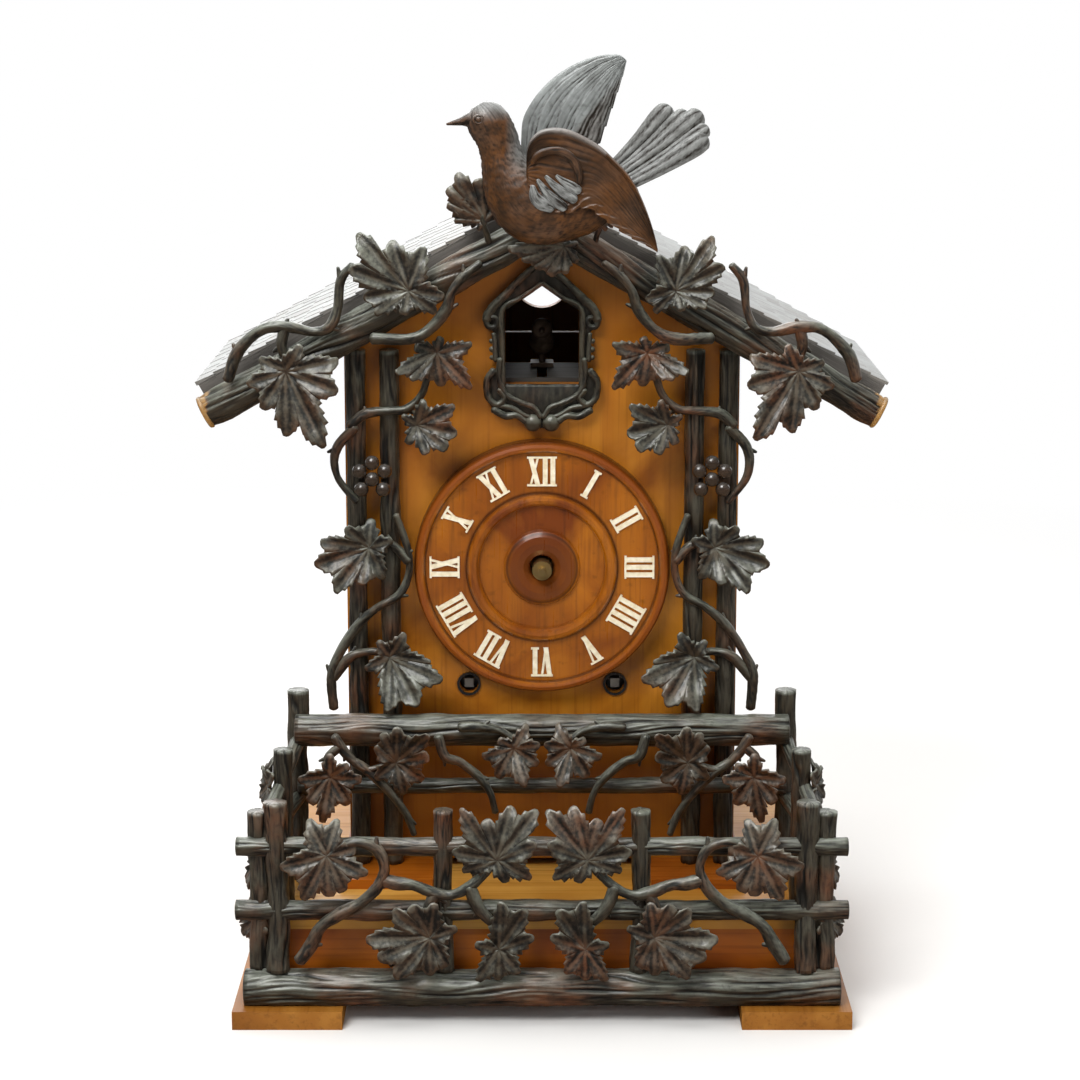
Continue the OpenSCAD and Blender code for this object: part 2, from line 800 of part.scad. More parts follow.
// Perched bird: body and tail in one, with a raised far wing and a lowered near wing
bird_y = barge_y - 19;
bird_foot = [2, 446];
bird_balls = [[30, 26, 10], [12, 18, 14], [-8, 18, 15], [-22, 32, 14], [-30, 52, 12], [-38, 69, 10.5]];
beak = [[-45, 72], [-57, 67]];
tail = [
    [26, 46], [40, 52], [74, 82], [79, 79], [93, 80], [98, 68],
    [100, 60], [93, 53], [69, 47], [50, 35], [30, 22],
];
near_wing = [
    [-10, 53], [0, 64], [12, 66], [27, 60], [45, 45], [57, 23], [64, 7], [68, -7],
    [57, -3], [42, 7], [33, 15], [21, 20], [0, 16], [-8, 30],
];
far_wing = [
    [-20, 31], [-15, 53], [-13, 71], [0, 89], [21, 105], [39, 110.5],
    [46, 110], [49, 105], [44, 89], [33, 57], [13, 44], [-8, 30],
];
function scaled(list) = [for (q = list) q * bird_len / 92];
module on_perch() {
    translate([bird_foot[0], bird_y, bird_foot[1]]) children();
}

module ball(q) {
    translate([q[0], 0, q[1]] * bird_len / 92) sphere(r = q[2] * bird_len / 92, $fn = 20);
}

module bird_body() {
    color("saddlebrown") union() {
        on_perch() {
            for (i = [0 : len(bird_balls) - 2]) hull() {
                ball(bird_balls[i]);
                ball(bird_balls[i + 1]);
            }
            rod([beak[0][0], 0, beak[0][1]] * bird_len / 92, [beak[1][0], 0, beak[1][1]] * bird_len / 92, 3);
            slab(-4, 4) polygon(scaled(tail));
        }
        box(-6, 12, bird_y, barge_y, bird_foot[1] + 6, bird_foot[1] + 20);
    }
}

module bird_wings() {
    near = bird_balls[2][2] * bird_len / 92 + clear;
    far = bird_balls[3][2] * bird_len / 92 + clear;
    wing_t = 5;
    color("saddlebrown") on_perch() {
        slab(-near - wing_t, -near) polygon(scaled(near_wing));
        slab(far, far + wing_t) polygon(scaled(far_wing));
    }
}

// Boards inside the case: the seat of the movement and the stage behind the opening
stage_slot = 3;
module inner_shelves() {
    color("burlywood") {
        box(-inside, inside, plate_y - 2, shelf_back, plate_z0 - shelf_t, plate_z0);
        difference() {
            box(-inside, inside, front_in, stage_back, stage_top - stage_t, stage_top);
            box(-stage_slot, stage_slot, front_in + 4, stage_back - 4, stage_top - stage_t - 1, stage_top + 1);
        }
    }
}

// Movement: plates with a hole for each arbor
thin_arbors = [inter, third, escape, pallet, pins, fly_at, hammer_at];
module plate_outline(y0, y1) {
    box(-plate_half, plate_half, y0, y1, plate_z0, plate_z1);
}

module front_plate() {
    color("gold") union() {
        difference() {
            plate_outline(plate_y, plate_in);
            for (at = [going, strike]) pin(at, winder_r + fit, plate_y - 1, plate_in + 1);
            for (at = thin_arbors) pin(at, arbor_r + fit, plate_y - 1, plate_in + 1);
            pin(centre, centre_r + fit, plate_y - 1, plate_in + 1);
        }
        pin(minute, arbor_r, plate_y - 14, plate_y + 1);
    }
}

cock_y = back_out + 15;
cock_x = 16;
module back_plate() {
    color("gold") union() {
        difference() {
            plate_outline(back_plate_y, back_out);
            for (at = [going, strike]) pin(at, winder_r + fit, back_plate_y - 1, back_out + 1);
            for (at = thin_arbors) pin(at, arbor_r + fit, back_plate_y - 1, back_out + 1);
            pin(centre, centre_r + fit, back_plate_y - 1, back_out + 1);
        }
        for (s = sides)
            box(s * cock_x - 3, s * cock_x + 3, back_out - 1, cock_y + 1, pallet[1] - 3, pallet[1] + 9);
        box(-cock_x - 3, cock_x + 3, cock_y, cock_y + 3, pallet[1] - 3, pallet[1] + 9);
        pin(pallet, hook_r, back_out + 8, cock_y + 1);
    }
}
hook_r = 1.4;

module plate_pillars() {
    color("gold") for (s = sides) for (z = [plate_z0 + 8, plate_z1 - 8]) {
        pin([s * (plate_half - 6), z], 4, plate_in, back_plate_y);
        pin([s * (plate_half - 6), z], 3, back_out, back_out + 3);
    }
}

// A spring barrel: drum with a toothed rim, hollow for its spring
barrel_wall = 2;
module barrel(at, phase) {
    drive_t = 3;
    difference() {
        union() {
            wheel(at, barrel_n, barrel_m, phase, drive_y, drive_y + drive_t);
            pin(at, barrel_r, drive_y, drive_y + barrel_h);
        }
        pin(at, barrel_r - barrel_wall, drive_y + drive_t, drive_y + barrel_h - barrel_wall);
        pin(at, winder_r + fit, drive_y - 1, drive_y + barrel_h + 1);
    }
}

module going_barrel() {
    color("goldenrod") barrel(going, bearing(going, inter));
}

module strike_barrel() {
    color("goldenrod") barrel(strike, bearing(strike, pins));
}

// A winding arbor: square front end, ratchet in front of the plate
ratchet_n = 20;
ratchet_r = 11;
ratchet_y = plate_y - 3.5;
ratchet_t = 2.5;
winder_front = case_front_y + 2;
module winder(at) {
    ratchet = [
        for (i = [0 : ratchet_n - 1])
            each [(ratchet_r - 1.8) * [cos(i * 360 / ratchet_n), sin(i * 360 / ratchet_n)],
                  ratchet_r * [cos(i * 360 / ratchet_n + 2), sin(i * 360 / ratchet_n + 2)]]
    ];
    pin(at, winder_r, ratchet_y - 3, back_out);
    translate([at[0] - square_w / 2, winder_front, at[1] - square_w / 2])
        cube([square_w, ratchet_y - 3 - winder_front + 1, square_w]);
    slab(ratchet_y, ratchet_y + ratchet_t) translate(at) polygon(ratchet);
}

module going_winder() {
    color("silver") winder(going);
}

module strike_winder() {
    color("silver") winder(strike);
}

// Clicks: a pawl on a screw beside each ratchet
module winding_clicks() {
    reach = ratchet_r + clear;
    color("silver") both()
        slab(ratchet_y, plate_y) translate(going) polygon([
            [-reach - 0.2, 2], [-reach - 5, 9], [-reach - 10, 10], [-reach - 11, 5], [-reach - 6, 2],
        ]);
}

// The going train
module arbor(at, y0 = plate_y, y1 = back_out, r = arbor_r) {
    pin(at, r, y0, y1);
}

inter_y = plate_in + 5;
pins_y = inter_y + 4.2;
wheel_t = 1.8;
module intermediate_wheel() {
    color("gold") union() {
        arbor(inter);
        difference() {
            wheel(inter, inter_n, inter_m, bearing(inter, centre), inter_y, inter_y + wheel_t);
            windows(inter, 5, 22, 9, inter_y, inter_y + wheel_t);
        }
        pinion(inter, drive_n, barrel_m, bearing(going, inter), drive_y - pinion_ext, drive_y + 3 + pinion_ext);
    }
}

centre_y = plate_in + 25;
minute_end = case_front_y - dial_t - 17;
cannon_y = plate_y - 6.5;
module centre_arbor() {
    color("gold") union() {
        pin(centre, centre_r, minute_end, back_out);
        pinion(centre, centre_pin_n, inter_m, bearing(inter, centre), inter_y - 1.5, inter_y + wheel_t + 1.5);
        difference() {
            wheel(centre, centre_n, centre_m, bearing(centre, third), centre_y, centre_y + 1.6);
            windows(centre, 5, 15, 6, centre_y, centre_y + 1.6);
        }
        pinion(centre, cannon_n, cannon_m, bearing(minute, centre), cannon_y, cannon_y + 3.5);
    }
}

hour_y = plate_y - 11;
module minute_wheel() {
    color("gold") difference() {
        union() {
            wheel(minute, minute_n, cannon_m, bearing(minute, centre), cannon_y + 0.8, cannon_y + 2.4);
            pin(minute, 4, hour_y + 3.5, cannon_y + 0.8);
            pinion(minute, minute_pin_n, hour_m, bearing(centre, minute), hour_y - 1.5, hour_y + 3.5);
        }
        pin(minute, arbor_r + fit, hour_y - 3, plate_y);
    }
}

pipe_end = case_front_y - dial_t - 11;
module hour_wheel() {
    color("gold") difference() {
        union() {
            wheel(centre, hour_n, hour_m, bearing(centre, minute), hour_y, hour_y + 1.6);
            pin(centre, pipe_r, pipe_end, hour_y + 0.5);
        }
        pin(centre, centre_r + fit, pipe_end - 1, hour_y + 3);
    }
}

third_y = plate_in + 35;
module third_wheel() {
    color("gold") union() {
        arbor(third);
        pinion(third, small_n, centre_m, bearing(centre, third), centre_y - 1.5, centre_y + 3.1);
        difference() {
            wheel(third, third_n, third_m, bearing(third, escape), third_y, third_y + 1.4);
            windows(third, 5, 12, 5, third_y, third_y + 1.4);
        }
    }
}

escape_y = plate_in + 45;
module escape_wheel() {
    saw = [
        for (i = [0 : escape_n - 1])
            each [(escape_r - 2.6) * [cos(i * 12), sin(i * 12)], escape_r * [cos(i * 12 + 1), sin(i * 12 + 1)]]
    ];
    color("gold") union() {
        arbor(escape);
        pinion(escape, small_n, third_m, bearing(third, escape), third_y - 1.5, third_y + 2.9);
        slab(escape_y, escape_y + 1.4) translate(escape) polygon(saw);
    }
}

crutch_y = rod_y - 5;
crutch_len = 40;
module pallets() {
    span = 50;
    anchor_in = escape_r + 1;
    anchor_out = escape_r + 4;
    arc = concat(
        [for (a = [90 - span : 10 : 90 + span]) away([0, 0], a, anchor_out)],
        [for (a = [90 + span : -10 : 90 - span]) away([0, 0], a, anchor_in)]
    );
    fork_gap = rod_r + clear;
    color("silver") union() {
        arbor(pallet, plate_y, crutch_y + 1.6);
        pin(pallet, 4, escape_y - 0.2, escape_y + 1.6);
        slab(escape_y - 0.2, escape_y + 1.6) translate(escape) polygon(arc);
        box(-1.5, 1.5, crutch_y, crutch_y + 1.6, pallet[1] - crutch_len, pallet[1]);
        box(-fork_gap - 1.2, fork_gap + 1.2, crutch_y, crutch_y + 1.6,
            pallet[1] - crutch_len - 1.6, pallet[1] - crutch_len);
        for (s = sides)
            box(s * (fork_gap + 0.6) - 0.6, s * (fork_gap + 0.6) + 0.6, crutch_y, rod_y + 2,
                pallet[1] - crutch_len - 1.6, pallet[1] - crutch_len);
    }
}

rod_r = 1.2;
module pendulum() {
    bob_z = pallet[1] - pendulum_len;
    color("gold") union() {
        difference() {
            union() {
                pin(pallet, 3.4, rod_y - 1.5, rod_y + 1.5);
                translate([0, rod_y, bob_z + bob_r - 4]) cylinder(r = rod_r, h = pendulum_len - bob_r + 1.6);
            }
            pin(pallet, hook_r + fit, rod_y - 3, rod_y + 3);
        }
        pin([0, bob_z], bob_r, rod_y - 3.5, rod_y + 3.5);
        translate([0, rod_y, bob_z - bob_r - 8]) cylinder(r = rod_r, h = 11);
        translate([0, rod_y, bob_z - bob_r - 6]) cylinder(r = 3, h = 3);
    }
}

// The striking train
pin_ring = 31;
module pin_wheel() {
    color("gold") union() {
        arbor(pins);
        difference() {
            wheel(pins, inter_n, inter_m, bearing(pins, fly_at), pins_y, pins_y + wheel_t);
            windows(pins, 5, 18, 8, pins_y, pins_y + wheel_t);
        }
        for (i = [0 : 7]) pin(away(pins, i * 45, pin_ring), 1, pins_y + 1, pins_y + wheel_t + 3.5);
        pinion(pins, drive_n, barrel_m, bearing(strike, pins), drive_y - pinion_ext, drive_y + 3 + pinion_ext);
    }
}

fly_w = 26;
module fly() {
    color("gold") union() {
        arbor(fly_at);
        pinion(fly_at, small_n, inter_m, bearing(pins, fly_at), pins_y - 1.2, pins_y + wheel_t + 1.2);
        translate([fly_at[0], 0, fly_at[1]]) {
            box(-fly_w / 2, fly_w / 2, drive_y, drive_y + 26, -0.4, 0.4);
        }
    }
}

hammer_y = rod_y - 6.4;
module hammer() {
    tail_y = pins_y + wheel_t + 0.8;
    reach = norm(pins - hammer_at) - pin_ring - 1 - 2 * clear;
    tail_tip = away(hammer_at, bearing(hammer_at, pins), reach);
    head_x = gong_at[0] - sqrt(gong_r * gong_r - (hammer_y - gong_at[1]) * (hammer_y - gong_at[1])) - gong_wire_r - 1;
    color("silver") union() {
        arbor(hammer_at, plate_y, hammer_y + 1);
        rod([hammer_at[0], tail_y + 1, hammer_at[1]], [tail_tip[0], tail_y + 1, tail_tip[1]], 0.8);
        rod([hammer_at[0], hammer_y, hammer_at[1]], [head_x - 6, hammer_y, gong_z], 1.2);
        rod([head_x - 12, hammer_y, gong_z], [head_x, hammer_y, gong_z], 4.5);
    }
}

// The gong: a flat coil of wire on a post
gong_in = 6;
gong_pitch = (gong_r - gong_in) / gong_turns;
function gong_point(i) =
    let (a = i * 360 / gong_rings, r = gong_in + gong_pitch * i / gong_rings)
    [gong_at[0] + r * cos(a), gong_at[1] + r * sin(a), gong_z];
echo(least_gap_of_gong_to_itself = gong_pitch - 2 * gong_wire_r);
module gong() {
    points = [for (i = [0 : gong_turns * gong_rings]) gong_point(i)];
    color("slategray") {
        translate([gong_at[0], gong_at[1], case_z + floor_t])
            cylinder(r = gong_in + 3, h = gong_z + gong_wire_r + 1 - case_z - floor_t);
        tube(points, [for (p = points) gong_wire_r], [0, 0, 1]);
    }
}

// Whistles: a box pipe on each side with its bellows on top
pipe_w = 22;
pipe_y0 = plate_y + 20;
pipe_y1 = plate_y + 50;
pipe_z0 = 205;
pipe_z1 = 325;
bellows_w = 25;
bellows_y1 = plate_y + 82;
bellows_t = 4;
bellows_fold = 6;
module whistles() {
    color("burlywood") both() {
        difference() {
            box(inside - pipe_w, inside, pipe_y0, pipe_y1, pipe_z0, pipe_z1);
            box(inside - pipe_w + 3, inside - 3, pipe_y0 + 3, pipe_y1 - 3, pipe_z0 + 3, pipe_z1 - 3);
            box(inside - pipe_w - 1, inside - pipe_w + 4, pipe_y0 + 6, pipe_y1 - 6, pipe_z1 - 18, pipe_z1 - 11);
        }
        box(inside - bellows_w, inside, pipe_y0, bellows_y1, pipe_z1, pipe_z1 + bellows_t + bellows_fold);
    }
}

module bellows_top(side) {
    low = pipe_z1 + bellows_t + bellows_fold + clear;
    x0 = side > 0 ? inside - bellows_w : 1 - inside;
    box(x0, x0 + bellows_w - 1, pipe_y0, bellows_y1, low, low + bellows_t);
}

module left_bellows_top() {
    color("burlywood") bellows_top(-1);
}

module right_bellows_top() {
    color("burlywood") bellows_top(1);
}

// The little cuckoo on its slide, at rest behind the stage
cuckoo_y = plate_y + 34;
module cuckoo_bird() {
    base = stage_top + clear;
    color("dimgray") union() {
        box(-7, 7, cuckoo_y - 7, cuckoo_y + 11, base, base + 2.5);
        box(clear - stage_slot, stage_slot - clear, cuckoo_y + 5, cuckoo_y + 11, stage_top - stage_t - 1, base + 1);
        rod([0, cuckoo_y, base], [0, cuckoo_y, base + 9], 2);
        hull() {
            translate([0, cuckoo_y, base + 15]) sphere(r = 8, $fn = 20);
            translate([0, cuckoo_y + 10, base + 12]) sphere(r = 5, $fn = 20);
        }
        translate([0, cuckoo_y - 8, base + 24]) sphere(r = 6.5, $fn = 20);
        translate([0, cuckoo_y - 12, base + 24]) rotate([90, 0, 0]) cylinder(r1 = 2.4, r2 = 0.6, h = 8);
        rod([0, cuckoo_y + 10, base + 12], [0, cuckoo_y + 26, base + 9], 3);
        translate([0, cuckoo_y - 4, base + 19]) sphere(r = 6.5, $fn = 20);
    }
}

feet();
base_front();
base_boards();
base_deck();
plinth_blocks();
case_front();
case_sides();
case_floor();
back_gable();
back_door();
door_hinges();
door_hinge_leaves();
door_catch();
catch_screw();
roof_panels();
ridge_cap();
bargeboards();
pillar_logs();
cuckoo_frame();
dial();
dial_numerals();
winding_bushes();
fence_log();
front_fence();
side_fences();
upper_fence();
roof_vines();
roof_leaves();
case_vines();
case_leaves();
fence_vines();
fence_leaves();
grape_clusters();
bird_body();
bird_wings();
inner_shelves();
front_plate();
back_plate();
plate_pillars();
going_barrel();
going_winder();
strike_barrel();
strike_winder();
winding_clicks();
intermediate_wheel();
centre_arbor();
hour_wheel();
minute_wheel();
third_wheel();
escape_wheel();
pallets();
pendulum();
pin_wheel();
fly();
hammer();
gong();
whistles();
left_bellows_top();
right_bellows_top();
cuckoo_bird();
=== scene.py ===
import math
import bpy
import bmesh
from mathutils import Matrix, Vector, noise


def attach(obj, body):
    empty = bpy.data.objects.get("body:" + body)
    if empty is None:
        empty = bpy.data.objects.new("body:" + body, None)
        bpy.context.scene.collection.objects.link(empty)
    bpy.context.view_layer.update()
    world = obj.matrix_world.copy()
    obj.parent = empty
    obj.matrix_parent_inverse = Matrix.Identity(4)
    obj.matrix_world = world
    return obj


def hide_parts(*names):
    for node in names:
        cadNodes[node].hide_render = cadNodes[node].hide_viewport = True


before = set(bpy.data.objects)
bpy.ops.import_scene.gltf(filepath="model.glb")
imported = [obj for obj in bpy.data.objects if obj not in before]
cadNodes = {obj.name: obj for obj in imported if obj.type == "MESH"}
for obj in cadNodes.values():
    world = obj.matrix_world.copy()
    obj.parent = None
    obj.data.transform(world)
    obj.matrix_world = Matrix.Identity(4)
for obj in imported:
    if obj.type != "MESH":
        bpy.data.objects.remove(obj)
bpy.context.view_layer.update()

mm = 0.001
print("frame:", len(cadNodes), "nodes")


# helpers: every table below is in millimetres, in the frame of the clock

def clamp(value, low=0, high=1):
    return min(high, max(low, value))


def chance(*spot):
    return noise.noise(Vector(spot))  # about -1 to 1, the same at the same spot in every run


def newBody():
    bm = bmesh.new()
    bm.verts.layers.float_vector.new("woodPlace")  # across and along the wood, for grain and bark
    bm.verts.layers.float.new("tone")  # 0 dark, 1 worn to the lighter wood (on the bird a painted pale sheen), 2 bare wood
    bm.verts.layers.float.new("ridge")  # 0 down in a cut, 1 on a rubbed ridge
    return bm


def finishBody(bm, name, material, *replaced, smooth=True):
    bmesh.ops.recalc_face_normals(bm, faces=bm.faces)
    bmesh.ops.scale(bm, vec=(mm, mm, mm), verts=bm.verts)
    mesh = bpy.data.meshes.new(name)
    bm.to_mesh(mesh)
    bm.free()
    mesh.polygons.foreach_set("use_smooth", [smooth] * len(mesh.polygons))
    obj = bpy.data.objects.new(name, mesh)
    bpy.context.scene.collection.objects.link(obj)
    mesh.materials.append(material)
    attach(obj, "case")
    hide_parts(*replaced)
    print(name + ":", len(mesh.polygons), "faces")


def wrapGrid(bm, around, rows, at, tone=0.0):
    made = bmesh.ops.create_grid(bm, x_segments=around, y_segments=rows, size=1.0)["verts"]
    place = bm.verts.layers.float_vector["woodPlace"]
    toneLayer, ridgeLayer = bm.verts.layers.float["tone"], bm.verts.layers.float["ridge"]
    for v in made:
        i = round((v.co.x + 1) / 2 * around) % around
        j = round((v.co.y + 1) / 2 * rows)
        v.co, v[place], v[ridgeLayer], v[toneLayer] = (tuple(at(i, j)) + (tone,))[:4]
    bmesh.ops.remove_doubles(bm, verts=made, dist=1e-4)


def smoothPath(knots, step):
    k = [Vector(q) for q in knots]  # x, y, z and radius together
    k = [2 * k[0] - k[1]] + k + [2 * k[-1] - k[-2]]
    path = []
    for i in range(1, len(k) - 2):
        a, b, c, d = k[i - 1:i + 3]
        n = max(2, round((c - b).length / step))
        for j in range(n):
            t = j / n
            path.append(0.5 * (2 * b + (c - a) * t + (2 * a - 5 * b + 4 * c - d) * t * t
                               + (3 * b - a - 3 * c + d) * t ** 3))
    path.append(k[-2])
    return path


bark = {"cracks": ((1, 1.0, 0.13), (3, 0.45, 0.2)), "wander": 0.9, "swellLength": 23, "rough": 0.25}


def barkAt(look, angle, along, seed):
    x, y = math.cos(angle) * 1.1, math.sin(angle) * 1.1 + seed * 3.1
    around = Vector((x, y, along / look["length"] + seed))
    turn = angle * look["ribs"] / (2 * math.pi) + bark["wander"] * noise.noise(around)
    cut = 0.0
    for scale, share, width in bark["cracks"]:  # wide cracks and the fine ones between them
        rib = round(turn * scale)
        gap = abs(turn * scale - rib)
        lane = rib % (look["ribs"] * scale) * 7.7
        open = clamp(0.55 + 1.6 * chance(lane, seed * 2.9 + scale, along / (look["length"] * 0.8)))
        cut = max(cut, share * open * math.exp(-(gap / width) ** 2))
    rough = noise.noise(around * 4.3)
    turned = angle / 3 if angle < math.pi else 2 - angle / 3
    swell = chance(seed * 5.3, along / bark["swellLength"], turned)
    ridge = clamp(0.62 - 0.75 * cut + 0.35 * rough + 0.25 * swell)
    return 1 - look["depth"] * (cut - bark["rough"] * rough) + look["swell"] * swell, ridge


def growWood(bm, knots, look, seed=0.0, facing=(0, -1, 0), floor=None, tone=0.0, relief=None):
    path = smoothPath(knots, look["step"])
    last = len(path) - 1
    facing = Vector(facing)
    frames, along = [], [0.0]
    for i, q in enumerate(path):
        t = (path[min(i + 1, last)] - path[max(i - 1, 0)]).xyz.normalized()
        front = (facing - t * facing.dot(t)).normalized()
        frames.append((t, front, t.cross(front)))
        if i:
            along.append(along[-1] + (q - path[i - 1]).xyz.length)
    caps = look["ends"]  # from the tip inwards: share of the radius, and how far out
    n = len(caps)
    sides = look["sides"]

    def at(i, j):
        k = clamp(j - n, 0, last)
        q, (t, front, across) = path[k], frames[k]
        share, out = 1.0, 0.0
        if j < n:
            share, out = caps[j][0], -caps[j][1]
        elif j > n + last:
            share, out = caps[2 * n + last - j]
        angle = 2 * math.pi * i / sides
        turned = (angle + look.get("twist", 0) * along[k]) % (2 * math.pi)
        thick, ridge = barkAt(look, turned, along[k], seed)
        r = q[3] * share * thick
        if relief:
            rise, ridge = relief(angle, along[k], q)
            r += share * rise
        co = (q.xyz + t * (out * q[3]) + across * (math.cos(angle) * r)
              + front * (math.sin(angle) * r * look.get("deep", 1)))
        if floor is not None:
            co.z = max(co.z, floor)
        return co, Vector((math.cos(turned) * q[3], math.sin(turned) * q[3], along[k] + seed * 41)), ridge

    wrapGrid(bm, sides, last + 2 * n, at, tone)


def addBead(bm, x, y, z, r, flat=0.8):
    sides, rows = 20, 12

    def at(i, j):
        a, b = 2 * math.pi * i / sides, math.pi * j / rows - math.pi / 2
        co = Vector((x + r * math.cos(b) * math.cos(a), y - flat * r * math.sin(b),
                     z + r * math.cos(b) * math.sin(a)))
        return co, Vector((co.x * 0.5, co.z * 0.5, r)), 0.6 + 0.3 * math.sin(b)

    wrapGrid(bm, sides, rows, at)


def flip(points, side):
    return [(-side * q[0],) + tuple(q[1:]) for q in points]  # tables hold the left-hand side, side -1


# materials

def wire(tree, kind, sockets=None, **settings):
    node = tree.nodes.new("ShaderNode" + kind)
    for key, value in settings.items():
        setattr(node, key, value)
    for key, value in (sockets or {}).items():
        if isinstance(value, bpy.types.NodeSocket):
            tree.links.new(value, node.inputs[key])
        else:
            node.inputs[key].default_value = value
    return node


def calc(tree, operation, *values):
    return wire(tree, "Math", dict(enumerate(values)), operation=operation).outputs[0]


def blendColours(tree, factor, a, b):
    a, b = (c if isinstance(c, bpy.types.NodeSocket) else tuple(c) + (1,) for c in (a, b))
    return wire(tree, "Mix", {0: factor, 6: a, 7: b}, data_type="RGBA").outputs[2]


def ramp(tree, source, low, high, fromValue=0.0, toValue=1.0):
    return wire(tree, "MapRange", {"Value": source, "From Min": low, "From Max": high,
                                   "To Min": fromValue, "To Max": toValue}).outputs[0]


def stain(tree, colour, other, source, low, high, share=1.0):
    return blendColours(tree, ramp(tree, source, low, high, 0, share), colour, other)


def noiseAt(tree, vector, scale, detail=3.0, stretch=None, distortion=0.0):
    if stretch:
        vector = wire(tree, "Mapping", {"Vector": vector, "Scale": stretch}).outputs[0]
    return wire(tree, "TexNoise", {"Vector": vector, "Scale": scale, "Detail": detail,
                                   "Distortion": distortion}).outputs[0]


def startMaterial(name, metallic=0.0, coat=0.0, coatRoughness=0.25, specular=0.3):
    material = bpy.data.materials.new(name)
    material.use_nodes = True
    tree = material.node_tree
    shader = tree.nodes["Principled BSDF"]
    for key, value in (("Metallic", metallic), ("Coat Weight", coat), ("Coat Roughness", coatRoughness),
                       ("Specular IOR Level", specular)):
        shader.inputs[key].default_value = value
    return material, tree, shader, wire(tree, "TexCoord").outputs["Object"]


def dress(tree, shader, colour, roughness, height, bump, distance):
    tree.links.new(colour, shader.inputs["Base Color"])
    tree.links.new(roughness, shader.inputs["Roughness"])
    normal = wire(tree, "Bump", {"Height": height, "Strength": bump, "Distance": distance}).outputs[0]
    tree.links.new(normal, shader.inputs["Normal"])


def carvedWood(name, look):
    material, tree, shader, where = startMaterial(name, coat=look["coat"], coatRoughness=0.2)
    place = wire(tree, "Attribute", attribute_name="woodPlace").outputs["Vector"]
    tone = wire(tree, "Attribute", attribute_name="tone").outputs["Fac"]
    ridge = wire(tree, "Attribute", attribute_name="ridge").outputs["Fac"]
    up = wire(tree, "SeparateXYZ", {0: wire(tree, "TexCoord").outputs["Normal"]}).outputs["Z"]
    streak = noiseAt(tree, place, 0.9, 4, (1, 1, look["streak"]))
    patch = noiseAt(tree, where, 26, 3)
    spots = noiseAt(tree, where, 320, 3)
    cloud = noiseAt(tree, where, 75, 4, None, 0.5)
    # wear on the carvings; on the bird, tone lays on its painted pale sheen
    worn = calc(tree, "MAXIMUM", ramp(tree, patch, 0.48, 0.7, 0, look.get("patchy", 1)),
                ramp(tree, tone, 0, 1, 0, 0.9))
    crest = calc(tree, "ADD", ridge, ramp(tree, streak, 0.25, 0.75, -0.25, 0.25))
    colour = blendColours(tree, worn, look["mid"], look["worn"])
    colour = blendColours(tree, ramp(tree, crest, 0.1, 0.7), look["dark"], colour)
    colour = stain(tree, colour, look.get("bare", look["worn"]), tone, 1, 2)
    shade = calc(tree, "MULTIPLY", ramp(tree, cloud, 0.34, 0.6, look.get("mottle", 0.25), 0),
                 ramp(tree, tone, 0, 1, 1, look.get("fray", 0.25)))
    colour = blendColours(tree, shade, colour, look["dark"])
    # painted sheen: surfaces that face up are greyed as if they shone under light from above
    paintedSheen = calc(tree, "MULTIPLY", ramp(tree, up, look["paintedSheenFrom"], 0.85, 0, look["paintedSheenShare"]),
                 ramp(tree, crest, 0.2, 0.75, 0.25, 1))
    paintedSheen = calc(tree, "MULTIPLY", paintedSheen, ramp(tree, patch, 0.3, 0.62, 1, 0.55))
    colour = blendColours(tree, paintedSheen, colour, look["paintedSheen"])  # painted sheen: what faces up is greyed, a painted highlight of light from above
    colour = stain(tree, colour, look["dark"], spots, 0.55, 0.8, 0.5)
    rough, glossy = look["gloss"][1], look["gloss"][0]
    dress(tree, shader, colour, ramp(tree, crest, 0.1, 0.9, rough, glossy),
          calc(tree, "ADD", streak, ramp(tree, spots, 0, 1, 0, 0.35)), look["bump"], 0.0006)
    return material


def grainedWood(name, look):
    look = dict(plainBoard, **look)
    material, tree, shader, where = startMaterial(name, 0.0, look["coat"], 0.22, 0.18)
    stretch = {"z": (1, 1, 0.07), "x": (0.07, 1, 1), "y": (1, 0.07, 1)}[look["run"]]
    figure = noiseAt(tree, where, look["figure"], 3, stretch, 1.2)
    rings = calc(tree, "SINE", calc(tree, "MULTIPLY", figure, look["rings"]))
    fibre = noiseAt(tree, where, look["fibre"], 4, tuple(0.4 * c if c < 1 else c for c in stretch))
    cloud = noiseAt(tree, where, look["cloud"], 4, None, 0.6)
    colour = blendColours(tree, ramp(tree, rings, -1, 1), look["light"], look["mid"])
    colour = stain(tree, colour, look["deep"], cloud, 0.4, 0.72)
    colour = stain(tree, colour, look["pore"], fibre, 0.52, 0.8, 0.6)
    for clear, dark, share in look["paintedShade"]:  # heights between which the board darkens with painted shade, and how far
        level = wire(tree, "SeparateXYZ", {0: where}).outputs["Z"]
        colour = stain(tree, colour, look["deep"], level, clear * mm, dark * mm, share)
    dress(tree, shader, colour, ramp(tree, fibre, 0.3, 0.7, *look["gloss"]), fibre, look["bump"], 0.0004)
    return material


